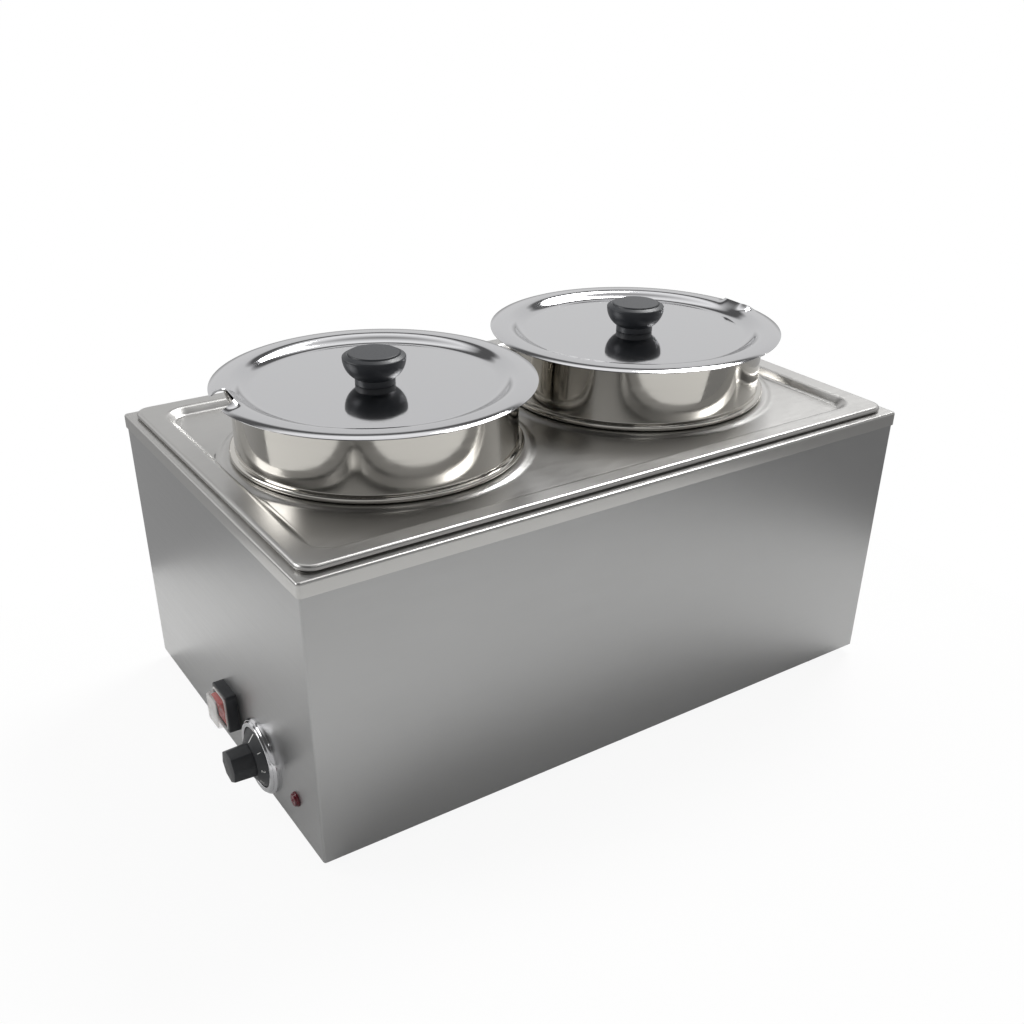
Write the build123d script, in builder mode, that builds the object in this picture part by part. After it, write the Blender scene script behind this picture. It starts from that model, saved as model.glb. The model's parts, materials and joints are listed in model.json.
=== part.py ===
from build123d import *

import os

# Countertop food warmer with two round lift-out pots over one heated water pan.
# Millimetres, +Z up. The origin is on the table, under the middle of the whole outline.
# The casing's long side runs along X and its control wall faces -X.

# Casing: a folded wrap with flanges turned in at its top and bottom
CASE_LENGTH = 543.0
CASE_WIDTH = 340.0
BODY_HEIGHT = 230.0
CASE_SHEET = 1.0
CASE_CORNER = 2.0
CASE_FLANGE = 14.0

# Base plate, feet and their screws
FOOT_HEIGHT = 7.0
FOOT_RADIUS = 14.0
FOOT_TAPER = 2.0
FOOT_INSET = 45.0
FOOT_SCREW_RADIUS = 2.4
FOOT_RECESS_RADIUS = 6.0
FOOT_RECESS_DEPTH = 3.6
FOOT_SCREW_HEAD = 4.5
FOOT_SCREW_HEAD_HEIGHT = 2.6
FOOT_SCREW_LENGTH = 13.0
BASE_SHEET = 1.0
BASE_INSET = 3.0
BASE_SCREW_RADIUS = 1.95
BASE_SCREW_HEAD = 3.8
BASE_SCREW_HEAD_HEIGHT = 2.4
BASE_SCREW_LENGTH = 6.0
BASE_SCREW_SPAN = 220.0
SCREW_HEAD_ROUND = 1.2
NUT_RADIUS = 4.6
NUT_HEIGHT = 4.0
NUT_SIDES = 6

# Water pan: drawn tank, deck flange and the skirt that laps over the casing
PAN_SHEET = 1.0
SKIRT_HEIGHT = 11.0
SKIRT_GAP = 0.3
DECK_BEND = 2.0
TANK_LENGTH = 508.0
TANK_WIDTH = 306.0
TANK_DEPTH = 158.0
TANK_CORNER = 32.0
TANK_FLOOR_RADIUS = 16.0

# Adapter plate: turned-down edge tucked under, sunken field and a raised shoulder round each pot opening
PLATE_LENGTH = 533.0
PLATE_WIDTH = 329.0
PLATE_CORNER = 13.0
PLATE_SHEET = 1.0
PLATE_RISE = 4.8
PLATE_TUCK = 2.0
PLATE_TUCK_HEIGHT = 1.6
PLATE_BEND = 3.0
PLATE_RIM = 15.0
FIELD_DEPTH = 5.8
FIELD_SLOPE = 10.0
FIELD_CORNER = 23.0
SHOULDER_HEIGHT = 2.0
SHOULDER_OUTER = 124.5
SHOULDER_FLAT = 116.5
SHOULDER_LAP = 0.5
FIELD_LAP = 0.6
OPENING_RADIUS = 110.5
OPENING_ROLL = 2.0

# Pots: seamless wall with a bead to hang by and a curled rim
POT_SPACING = 251.0
POT_SHEET = 0.8
POT_WALL = 108.85
POT_BELOW = 130.0
POT_ABOVE = 53.6
POT_FLOOR_RADIUS = 18.0
BEAD_LEDGE = 2.6
BEAD_HEIGHT = 4.4
CURL_WIDTH = 3.2

# Lids: flat sunken disc, crest over the pot's curl, flange, and a ladle notch with a turned-up border
LID_SHEET = 0.8
LID_RADIUS = 123.7
LID_DROP = 5.6
LID_DISC = 93.0
CREST_RADIUS = 14.0
FLANGE_END = 117.5
FLANGE_FALL = 0.3
LIP_FALL = 1.9
NOTCH_WIDTH = 32.0
NOTCH_END = 111.0
NOTCH_CORNER = 8.0
NOTCH_TURN = {"left": -5.5, "right": -2.5}
BORDER_HEIGHT = 4.2

# Lid knob: neck, bowl-shaped head and a raised disc on top
KNOB_HEIGHT = 23.8
KNOB_NECK = 15.4
KNOB_NECK_TOP = 4.8
KNOB_BOWL_MIDDLE = (21.9, 11.3)
KNOB_HEAD = 24.2
KNOB_HEAD_WIDEST = 20.2
KNOB_SHOULDER_MIDDLE = (22.5, 22.0)
KNOB_SHOULDER = 22.8
KNOB_DISC = 19.5
KNOB_DISC_EDGE = 0.5
LID_SCREW_RADIUS = 2.9
LID_SCREW_HEAD = 5.5
LID_SCREW_HEAD_HEIGHT = 3.4
LID_SCREW_HEAD_ROUND = 1.6
LID_SCREW_GRIP = 15.0
LID_SCREW_HOLE = 16.0
LID_WASHER_RADIUS = 8.0
LID_WASHER_SHEET = 1.2

# Controls on the end wall, heights above the table
SWITCH_Y = -7.5
SWITCH_Z = 50.6
DIAL_Y = -68.0
DIAL_Z = 39.5
LAMP_Y = -129.0
LAMP_Z = 39.3

# Rocker switch
FRAME_WIDTH = 30.0
FRAME_HEIGHT = 34.0
FRAME_REACH = 9.0
SWITCH_CUT_WIDTH = 22.0
SWITCH_CUT_HEIGHT = 28.0
SWITCH_FLANGE = 2.0
SWITCH_FLANGE_WIDTH = 26.0
SWITCH_FLANGE_HEIGHT = 31.0
SWITCH_FLANGE_CORNER = 2.0
SWITCH_COLLAR = 5.0
SWITCH_COLLAR_LAP = 0.3
SWITCH_COLLAR_CORNER = 1.0
SWITCH_DEPTH = 23.0
SWITCH_ROOM = 0.2
FRAME_CORNER = 3.0
FRAME_EDGE = 1.0
FRAME_WINDOW_LAP = 0.5
FRAME_WINDOW_CORNER = 1.2
WELL_WIDTH = 19.2
WELL_HEIGHT = 26.6
WELL_DEPTH = 12.0
ROCKER_WIDTH = 18.6
ROCKER_HALF = 11.3
ROCKER_FACE = 9.0
ROCKER_TILT = 11.0
ROCKER_HOLLOW = 1.4
ROCKER_HEEL = 5.0
ROCKER_HEEL_HALF = 4.0
PIVOT_REACH = 2.0
PIVOT_RADIUS = 1.5
BOOT_REACH = 16.5
BOOT_SHEET = 0.8
BOOT_WIDTH = 23.0
BOOT_HEIGHT = 29.0
BOOT_TAPER = 2.0
BOOT_FOOT_CORNER = 3.8
BOOT_TOP_CORNER = 4.8
BOOT_EDGE = 1.5
BOOT_FLANGE_INSET = 1.5
BOOT_FLANGE_CORNER = 3.0

# Thermostat
KNOB_REACH = 28.0
GRIP_RADIUS = 14.2
GRIP_END_RADIUS = 13.2
GRIP_SIDES = 8
GRIP_TURN = 25.0
GRIP_EDGE = 0.8
SKIRT_RADIUS = 23.6
SKIRT_BACK = 2.6
SKIRT_FRONT = 4.2
SKIRT_EDGE = 0.6
BEZEL_RADIUS = 30.5
BEZEL_BORE = 24.2
BEZEL_REACH = 6.0
BEZEL_RIM = 1.2
BEZEL_CURVE = (28.9, 4.8)
BEZEL_FLAT = 27.2
BEZEL_CHAMFER = 1.0
SHAFT_RADIUS = 3.0
SHAFT_REACH = 18.0
SHAFT_INSIDE = 12.0
SHAFT_WELL = 14.0
SHAFT_FIT = 0.02
SHAFT_FLAT = 2.2
BUSH_RADIUS = 4.8
BUSH_REACH = 1.0
THERMOSTAT_WIDTH = 30.0
THERMOSTAT_HEIGHT = 40.0
THERMOSTAT_DEPTH = 26.0
THERMOSTAT_CORNER = 2.0
THERMOSTAT_PLATE = 1.5
THERMOSTAT_PLATE_LAP = 2.0
THERMOSTAT_SCREW_SPAN = 28.0
THERMOSTAT_SCREW_RADIUS = 1.75
THERMOSTAT_SCREW_HEAD = 3.4
THERMOSTAT_SCREW_HEAD_HEIGHT = 1.9
THERMOSTAT_SCREW_HEAD_ROUND = 0.8
THERMOSTAT_SCREW_LENGTH = 6.0
THERMOSTAT_SCREW_HOLE = 8.0
BULB_RADIUS = 3.0
BULB_LENGTH = 90.0
CAPILLARY_RADIUS = 1.0
CAPILLARY_BEND = 12.0
CAPILLARY_RISE_FROM_WALL = 52.0
CAPILLARY_OVER_DIAL = 8.0
BULB_FROM_WALL = 80.0
BULB_FROM_DIAL = 6.0
CLIP_SHEET = 0.8
CLIP_HALF = 9.0
CLIP_WIDTH = 8.0
CLIP_PLACES = (15.0, 60.0)

# Indicator lamp
LENS_FLANGE = 5.8
LENS_RADIUS = 4.5
LENS_REACH = 6.0
LENS_FLANGE_SHEET = 1.2
LENS_FOOT = 1.8
LENS_DOME = 3.4
LAMP_BARREL = 4.3
LAMP_DEPTH = 20.0
LAMP_NUT_RADIUS = 7.0
LAMP_NUT_HEIGHT = 3.5

# Heating under the tank
ELEMENT_RADIUS = 4.0
ELEMENT_BEND = 29.0
ELEMENT_PITCH = 60.0
ELEMENT_REACH = 200.0
ELEMENT_RETURN = -170.0
ELEMENT_TAIL = -230.0
ELEMENT_PIN = 14.0
CLAMP_PLACES = (-120.0, 20.0, 150.0)
CLAMP_LENGTH = 206.0
CLAMP_WIDTH = 15.0
CLAMP_SHEET = 1.5
CLAMP_CORNER = 3.0
STUD_RADIUS = 2.5
STUD_LENGTH = 18.0
STUD_Y = 47.0
LIMIT_FROM_MIDDLE = 80.0
LIMIT_FLANGE = 11.0
LIMIT_FLANGE_SHEET = 1.0
LIMIT_RADIUS = 8.0
LIMIT_HEIGHT = 12.0

# Mains entry
BUSHING_X = -200.0
BUSHING_Z = 40.0
BUSHING_BORE = 4.5
BUSHING_NECK = 7.8
BUSHING_FLANGE = 10.5
BUSHING_FLANGE_END = 9.7
BUSHING_FLANGE_SHEET = 1.2
BUSHING_BARB = 9.5
BUSHING_TIP = 6.5
BUSHING_LENGTH = 12.0
TERMINAL_X = -150.0
EARTH_X = -105.0
TERMINAL_Y = 120.0
TERMINAL_LENGTH = 40.0
TERMINAL_WIDTH = 24.0
TERMINAL_HEIGHT = 18.0
TERMINAL_CORNER = 2.0
TERMINAL_PITCH = 12.0
TERMINAL_WAYS = 3
TERMINAL_SCREW_HOLE = 2.4
TERMINAL_SCREW_DEPTH = 9.0
TERMINAL_WIRE_HOLE = 1.9
TERMINAL_WIRE_HEIGHT = 7.0
EARTH_NUT_RADIUS = 4.4
EARTH_NUT_HEIGHT = 3.2
EARTH_STUD_RADIUS = 2.0
EARTH_STUD_LENGTH = 14.0

# Room left between faces that seat on each other, round screws in their holes and round turning pins
SEAT_GAP = 0.1
HOLE_GAP = 0.15
TURNING_GAP = 0.05

# Heights and places that follow from the sizes above
CASE_BOTTOM = FOOT_HEIGHT + BASE_SHEET
DECK_Z = CASE_BOTTOM + BODY_HEIGHT
CASE_TOP = DECK_Z - PAN_SHEET
TANK_UNDER = DECK_Z - TANK_DEPTH - PAN_SHEET
COLLAR_LENGTH = CASE_LENGTH + 2 * (SKIRT_GAP + PAN_SHEET)
COLLAR_WIDTH = CASE_WIDTH + 2 * (SKIRT_GAP + PAN_SHEET)
CASE_X = (KNOB_REACH + CASE_LENGTH / 2 - COLLAR_LENGTH / 2) / 2
WALL_X = CASE_X - CASE_LENGTH / 2
PLATE_FOOT_Z = DECK_Z + SEAT_GAP
PLATE_EDGE_Z = PLATE_FOOT_Z + PLATE_TUCK_HEIGHT
PLATE_TOP = PLATE_FOOT_Z + PLATE_RISE
FIELD_TOP = PLATE_TOP - FIELD_DEPTH
SHOULDER_TOP = FIELD_TOP + SHOULDER_HEIGHT
BEAD_SEAT = SHOULDER_TOP + SEAT_GAP
POT_RIM = BEAD_SEAT + POT_ABOVE
CREST_Z = POT_RIM + SEAT_GAP + LID_SHEET / 2
CREST_CENTRE = POT_WALL + CURL_WIDTH / 2
LID_FLOOR = CREST_Z - LID_DROP
ELEMENT_Z = TANK_UNDER - SEAT_GAP - ELEMENT_RADIUS

SIDES = {"left": -1, "right": 1}
BASE_SCREW_ROWS = (CASE_WIDTH - CASE_FLANGE) / 2
BASE_SCREW_ENDS = (CASE_LENGTH - CASE_FLANGE) / 2
BASE_SCREWS = [
    *[(x, y) for x in (-BASE_SCREW_SPAN, 0, BASE_SCREW_SPAN) for y in (-BASE_SCREW_ROWS, BASE_SCREW_ROWS)],
    (-BASE_SCREW_ENDS, 0),
    (BASE_SCREW_ENDS, 0),
]
FOOT_X = CASE_LENGTH / 2 - FOOT_INSET
FOOT_Y = CASE_WIDTH / 2 - FOOT_INSET
FEET = {
    "front_left": (-FOOT_X, -FOOT_Y),
    "front_right": (FOOT_X, -FOOT_Y),
    "rear_left": (-FOOT_X, FOOT_Y),
    "rear_right": (FOOT_X, FOOT_Y),
}

os.makedirs("parts", exist_ok=True)


def level(z):
    """Horizontal plane at height z, centred on the casing."""
    return Plane((CASE_X, 0, z))


def pot_x(side):
    """Where a pot's axis stands along X."""
    return CASE_X + SIDES[side] * POT_SPACING / 2


def upright(x, y=0.0, z=0.0):
    """Vertical drawing plane for turned pieces: radius along X, height above z along Z."""
    return Plane((x, y, z), x_dir=(1, 0, 0), z_dir=(0, -1, 0))


def upright_axis(x, y=0.0):
    return Axis((x, y, 0), (0, 0, 1))


def wall(y, z, out=0.0):
    """Plane on the control wall, seen from outside; positive depths stand out of the wall."""
    return Plane((WALL_X - out, y, z), x_dir=(0, -1, 0), z_dir=(-1, 0, 0))


def wall_section(y, z):
    """Drawing plane for pieces turned about an axis square to the control wall."""
    return Plane((WALL_X, y, z), x_dir=(0, 0, 1), z_dir=(0, -1, 0))


def wall_axis(y, z):
    return Axis((WALL_X, y, z), (-1, 0, 0))


# Whole wrap of the casing, before it is divided into its panels
with BuildPart() as wrap:
    with BuildSketch(level(CASE_BOTTOM)):
        RectangleRounded(CASE_LENGTH, CASE_WIDTH, CASE_CORNER)
    extrude(amount=CASE_TOP - CASE_BOTTOM)
    with BuildSketch(level(CASE_BOTTOM + CASE_SHEET)):
        RectangleRounded(CASE_LENGTH - 2 * CASE_SHEET, CASE_WIDTH - 2 * CASE_SHEET, CASE_CORNER - CASE_SHEET)
    extrude(amount=CASE_TOP - CASE_BOTTOM - 2 * CASE_SHEET, mode=Mode.SUBTRACT)
    with BuildSketch(level(CASE_BOTTOM)):
        RectangleRounded(CASE_LENGTH - 2 * CASE_FLANGE, CASE_WIDTH - 2 * CASE_FLANGE, CASE_CORNER)
    extrude(amount=CASE_TOP - CASE_BOTTOM, mode=Mode.SUBTRACT)
    with BuildSketch(level(CASE_BOTTOM)):
        with Locations(*BASE_SCREWS):
            Circle(BASE_SCREW_RADIUS + HOLE_GAP)
    extrude(amount=CASE_SHEET, mode=Mode.SUBTRACT)
    with BuildSketch(wall(SWITCH_Y, SWITCH_Z)):
        Rectangle(SWITCH_CUT_WIDTH, SWITCH_CUT_HEIGHT)
    with BuildSketch(wall(DIAL_Y, DIAL_Z)):
        Circle(BUSH_RADIUS + HOLE_GAP)
        with GridLocations(0, THERMOSTAT_SCREW_SPAN, 1, 2):
            Circle(THERMOSTAT_SCREW_RADIUS + HOLE_GAP)
    with BuildSketch(wall(LAMP_Y, LAMP_Z)):
        Circle(LAMP_BARREL + HOLE_GAP)
    extrude(amount=-CASE_SHEET, mode=Mode.SUBTRACT)
    with BuildSketch(Plane((CASE_X + BUSHING_X, CASE_WIDTH / 2, BUSHING_Z), z_dir=(0, 1, 0))):
        Circle(BUSHING_NECK + HOLE_GAP)
    extrude(amount=-CASE_SHEET, mode=Mode.SUBTRACT)

# Casing panels: the front and rear ones are folded round the corners, the end ones are let in between them
BETWEEN = CASE_WIDTH - 2 * CASE_FLANGE
CASE_PANELS = {
    "casing_front": ((0, (CASE_FLANGE - CASE_WIDTH) / 2), (CASE_LENGTH, CASE_FLANGE)),
    "casing_rear": ((0, (CASE_WIDTH - CASE_FLANGE) / 2), (CASE_LENGTH, CASE_FLANGE)),
    "casing_control_end": ((-CASE_LENGTH / 4, 0), (CASE_LENGTH / 2, BETWEEN)),
    "casing_plain_end": ((CASE_LENGTH / 4, 0), (CASE_LENGTH / 2, BETWEEN)),
}
for panel_name, (middle, extent) in CASE_PANELS.items():
    with BuildPart() as panel:
        add(wrap.part)
        with BuildSketch(level(CASE_BOTTOM)):
            with Locations(middle):
                Rectangle(*extent)
        extrude(amount=BODY_HEIGHT, mode=Mode.INTERSECT)
    panel.part.label = panel_name
    export_step(panel.part, f"parts/{panel_name}.step")

# Base plate that closes the casing from below
with BuildPart() as base_plate:
    with BuildSketch(level(FOOT_HEIGHT)):
        RectangleRounded(CASE_LENGTH - 2 * BASE_INSET, CASE_WIDTH - 2 * BASE_INSET, CASE_CORNER)
        with Locations(*BASE_SCREWS):
            Circle(BASE_SCREW_RADIUS + HOLE_GAP, mode=Mode.SUBTRACT)
        with Locations(*FEET.values()):
            Circle(FOOT_SCREW_RADIUS + HOLE_GAP, mode=Mode.SUBTRACT)
    extrude(amount=BASE_SHEET)
base_plate.part.label = "base_plate"
export_step(base_plate.part, "parts/base_plate.step")

with BuildPart() as base_screws:
    with BuildSketch(level(FOOT_HEIGHT)):
        with Locations(*BASE_SCREWS):
            Circle(BASE_SCREW_HEAD)
    extrude(amount=-BASE_SCREW_HEAD_HEIGHT)
    fillet(base_screws.edges().group_by(Axis.Z)[0], SCREW_HEAD_ROUND)
    with BuildSketch(level(FOOT_HEIGHT)):
        with Locations(*BASE_SCREWS):
            Circle(BASE_SCREW_RADIUS)
    extrude(amount=BASE_SCREW_LENGTH)
base_screws.part.label = "base_screws"
export_step(base_screws.part, "parts/base_screws.step")

# Rubber feet, recessed from below for their screws
for place, (foot_x, foot_y) in FEET.items():
    with BuildPart() as foot:
        with BuildSketch(upright(CASE_X + foot_x, foot_y)):
            with BuildLine():
                Polyline(
                    (FOOT_RECESS_RADIUS, 0),
                    (FOOT_RADIUS - FOOT_TAPER, 0),
                    (FOOT_RADIUS, FOOT_HEIGHT),
                    (FOOT_SCREW_RADIUS + HOLE_GAP, FOOT_HEIGHT),
                    (FOOT_SCREW_RADIUS + HOLE_GAP, FOOT_RECESS_DEPTH),
                    (FOOT_RECESS_RADIUS, FOOT_RECESS_DEPTH),
                    close=True,
                )
            make_face()
        revolve(axis=upright_axis(CASE_X + foot_x, foot_y))
    foot.part.label = f"foot_{place}"
    export_step(foot.part, f"parts/foot_{place}.step")

with BuildPart() as foot_screws:
    with BuildSketch(level(FOOT_RECESS_DEPTH)):
        with Locations(*FEET.values()):
            Circle(FOOT_SCREW_HEAD)
    extrude(amount=-FOOT_SCREW_HEAD_HEIGHT)
    fillet(foot_screws.edges().group_by(Axis.Z)[0], SCREW_HEAD_ROUND)
    with BuildSketch(level(FOOT_RECESS_DEPTH)):
        with Locations(*FEET.values()):
            Circle(FOOT_SCREW_RADIUS)
    extrude(amount=FOOT_SCREW_LENGTH)
    with BuildSketch(level(CASE_BOTTOM)):
        with Locations(*FEET.values()):
            RegularPolygon(NUT_RADIUS, NUT_SIDES)
    extrude(amount=NUT_HEIGHT)
foot_screws.part.label = "foot_screws"
export_step(foot_screws.part, "parts/foot_screws.step")

# Water pan
with BuildPart() as tank_shell:
    with BuildSketch(level(DECK_Z)):
        RectangleRounded(TANK_LENGTH + 2 * PAN_SHEET, TANK_WIDTH + 2 * PAN_SHEET, TANK_CORNER + PAN_SHEET)
    extrude(amount=-(TANK_DEPTH + PAN_SHEET))
    fillet(tank_shell.faces().sort_by(Axis.Z)[0].edges(), TANK_FLOOR_RADIUS + PAN_SHEET)
    offset(amount=-PAN_SHEET, openings=tank_shell.faces().sort_by(Axis.Z)[-1])

with BuildPart() as water_pan:
    with BuildSketch(level(DECK_Z)):
        RectangleRounded(COLLAR_LENGTH, COLLAR_WIDTH, CASE_CORNER + SKIRT_GAP + PAN_SHEET)
    extrude(amount=-SKIRT_HEIGHT)
    fillet(water_pan.faces().sort_by(Axis.Z)[-1].edges(), DECK_BEND)
    with BuildSketch(level(CASE_TOP)):
        RectangleRounded(CASE_LENGTH + 2 * SKIRT_GAP, CASE_WIDTH + 2 * SKIRT_GAP, CASE_CORNER + SKIRT_GAP)
    extrude(amount=PAN_SHEET - SKIRT_HEIGHT, mode=Mode.SUBTRACT)
    with BuildSketch(level(DECK_Z)):
        RectangleRounded(TANK_LENGTH, TANK_WIDTH, TANK_CORNER)
    extrude(amount=-PAN_SHEET, mode=Mode.SUBTRACT)
    add(tank_shell.part)
water_pan.part.label = "water_pan"
export_step(water_pan.part, "parts/water_pan.step")

# Adapter plate
FIELD_LENGTH = PLATE_LENGTH - 2 * PLATE_RIM
FIELD_WIDTH = PLATE_WIDTH - 2 * PLATE_RIM
with BuildPart() as plate_field:
    with BuildSketch(level(PLATE_TOP - PLATE_SHEET)):
        RectangleRounded(FIELD_LENGTH + 2 * FIELD_LAP, FIELD_WIDTH + 2 * FIELD_LAP, FIELD_CORNER + FIELD_LAP)
    with BuildSketch(level(FIELD_TOP - PLATE_SHEET)):
        RectangleRounded(
            FIELD_LENGTH - 2 * FIELD_SLOPE + 2 * FIELD_LAP,
            FIELD_WIDTH - 2 * FIELD_SLOPE + 2 * FIELD_LAP,
            FIELD_CORNER - FIELD_SLOPE + FIELD_LAP,
        )
    loft()
    with BuildSketch(level(PLATE_TOP)):
        RectangleRounded(FIELD_LENGTH, FIELD_WIDTH, FIELD_CORNER)
    with BuildSketch(level(FIELD_TOP)):
        RectangleRounded(
            FIELD_LENGTH - 2 * FIELD_SLOPE,
            FIELD_WIDTH - 2 * FIELD_SLOPE,
            FIELD_CORNER - FIELD_SLOPE,
        )
    loft(mode=Mode.SUBTRACT)


def plate_outline(inset):
    """Draws the plate's outline, drawn in by an inset."""
    RectangleRounded(PLATE_LENGTH - 2 * inset, PLATE_WIDTH - 2 * inset, PLATE_CORNER - inset)


with BuildPart() as plate_hollow:
    with BuildSketch(level(PLATE_FOOT_Z)):
        plate_outline(PLATE_SHEET + PLATE_TUCK)
    with BuildSketch(level(PLATE_EDGE_Z)):
        plate_outline(PLATE_SHEET)
    loft()
    with BuildSketch(level(PLATE_EDGE_Z)):
        plate_outline(PLATE_SHEET)
    extrude(amount=PLATE_TOP - PLATE_SHEET - PLATE_EDGE_Z)
    fillet(plate_hollow.faces().sort_by(Axis.Z)[-1].edges(), PLATE_BEND - PLATE_SHEET)

with BuildPart() as adapter_plate:
    with BuildSketch(level(PLATE_FOOT_Z)):
        plate_outline(PLATE_TUCK)
    with BuildSketch(level(PLATE_EDGE_Z)):
        plate_outline(0)
    loft()
    with BuildSketch(level(PLATE_EDGE_Z)):
        plate_outline(0)
    extrude(amount=PLATE_TOP - PLATE_EDGE_Z)
    fillet(adapter_plate.faces().sort_by(Axis.Z)[-1].edges(), PLATE_BEND)
    add(plate_hollow.part, mode=Mode.SUBTRACT)
    with BuildSketch(level(PLATE_TOP)):
        RectangleRounded(FIELD_LENGTH, FIELD_WIDTH, FIELD_CORNER)
    extrude(amount=-PLATE_SHEET, mode=Mode.SUBTRACT)
    add(plate_field.part)
    with BuildSketch(level(FIELD_TOP)):
        with GridLocations(POT_SPACING, 0, 2, 1):
            Circle(SHOULDER_OUTER)
    extrude(amount=-PLATE_SHEET, mode=Mode.SUBTRACT)
    for side in SIDES:
        with BuildSketch(upright(pot_x(side))):
            with BuildLine():
                low = FIELD_TOP - PLATE_SHEET / 2
                high = low + SHOULDER_HEIGHT
                middle = ((SHOULDER_OUTER + SHOULDER_FLAT) / 2, (low + high) / 2)
                lap = Line((SHOULDER_OUTER + SHOULDER_LAP, low), (SHOULDER_OUTER, low))
                foot_curve = TangentArc(lap @ 1, middle, tangent=lap % 1)
                top_curve = TangentArc(middle, (SHOULDER_FLAT, high), tangent=foot_curve % 1)
                edge = OPENING_RADIUS + PLATE_SHEET / 2
                flat = Line(top_curve @ 1, (edge + OPENING_ROLL, high))
                TangentArc(flat @ 1, (edge, high - OPENING_ROLL), tangent=flat % 1)
            trace(line_width=PLATE_SHEET)
        revolve(axis=upright_axis(pot_x(side)))
adapter_plate.part.label = "adapter_plate"
export_step(adapter_plate.part, "parts/adapter_plate.step")

# Pots
for side in SIDES:
    with BuildPart() as pot:
        with BuildSketch(upright(pot_x(side))):
            with BuildLine():
                floor_z = BEAD_SEAT - POT_BELOW + POT_SHEET / 2
                seat_z = BEAD_SEAT + POT_SHEET / 2
                curl_z = POT_RIM - CURL_WIDTH / 2 - POT_SHEET / 2
                floor = Line((0, floor_z), (POT_WALL - POT_FLOOR_RADIUS, floor_z))
                corner = TangentArc(floor @ 1, (POT_WALL, floor_z + POT_FLOOR_RADIUS), tangent=floor % 1)
                lower = Line(corner @ 1, (POT_WALL, seat_z))
                ledge = Line(lower @ 1, (POT_WALL + BEAD_LEDGE, seat_z))
                bead = TangentArc(ledge @ 1, (POT_WALL + BEAD_LEDGE, seat_z + BEAD_HEIGHT), tangent=ledge % 1)
                shelf = Line(bead @ 1, (POT_WALL, seat_z + BEAD_HEIGHT))
                upper = Line(shelf @ 1, (POT_WALL, curl_z))
                TangentArc(upper @ 1, (POT_WALL + CURL_WIDTH, curl_z), tangent=upper % 1)
            trace(line_width=POT_SHEET)
        revolve(axis=upright_axis(pot_x(side)))
    pot.part.label = f"pot_{side}"
    export_step(pot.part, f"parts/pot_{side}.step")


def lid_rim(lift):
    """Draws a lid's middle line from the edge of its disc to its lip, raised by lift."""
    crest = Vector(CREST_CENTRE, CREST_Z + lift)
    disc = Vector(LID_DISC, LID_FLOOR + lift)
    slope = crest - disc
    half_turn = slope.Y / slope.X
    radii = slope.X * (1 + half_turn**2) / (2 * half_turn)
    wall_end = crest - slope * (CREST_RADIUS / radii)
    wall_foot = TangentArc(disc, wall_end, tangent=(1, 0))
    wall_top = TangentArc(wall_end, crest, tangent=wall_foot % 1)
    flange = TangentArc(crest, (FLANGE_END, CREST_Z + lift - FLANGE_FALL), tangent=wall_top % 1)
    lip = TangentArc(flange @ 1, (LID_RADIUS, CREST_Z + lift - LIP_FALL), tangent=flange % 1)
    return disc, lip @ 1


def draw_notch(way, margin=0):
    """Draws a ladle notch, set out by a margin, as a round-cornered rectangle that runs off the lid."""
    length = 2 * (LID_RADIUS - NOTCH_END)
    with Locations((way * (NOTCH_END - margin + length / 2), 0)):
        RectangleRounded(length, NOTCH_WIDTH + 2 * margin, NOTCH_CORNER + margin)


# Lids
for side, way in SIDES.items():
    notch_plane = Plane((pot_x(side), 0, LID_FLOOR)).rotated((0, 0, NOTCH_TURN[side]))
    notch_height = LID_DROP + 2 * BORDER_HEIGHT
    with BuildPart() as notch_border:
        with BuildSketch(upright(pot_x(side))):
            with BuildLine():
                low_start, low_end = lid_rim(0)
                high_start, high_end = lid_rim(BORDER_HEIGHT)
                Line(low_start, high_start)
                Line(low_end, high_end)
            make_face()
        revolve(axis=upright_axis(pot_x(side)))
        with BuildSketch(notch_plane):
            draw_notch(way, LID_SHEET)
        extrude(amount=notch_height, mode=Mode.INTERSECT)
        with BuildSketch(notch_plane):
            draw_notch(way)
        extrude(amount=notch_height, mode=Mode.SUBTRACT)

    with BuildPart() as lid:
        with BuildSketch(upright(pot_x(side))):
            with BuildLine():
                Line((LID_SCREW_RADIUS + HOLE_GAP, LID_FLOOR), (LID_DISC, LID_FLOOR))
                lid_rim(0)
            trace(line_width=LID_SHEET)
        revolve(axis=upright_axis(pot_x(side)))
        with BuildSketch(notch_plane):
            draw_notch(way)
        extrude(amount=notch_height, mode=Mode.SUBTRACT)
        add(notch_border.part)
    lid.part.label = f"lid_{side}"
    export_step(lid.part, f"parts/lid_{side}.step")

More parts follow.
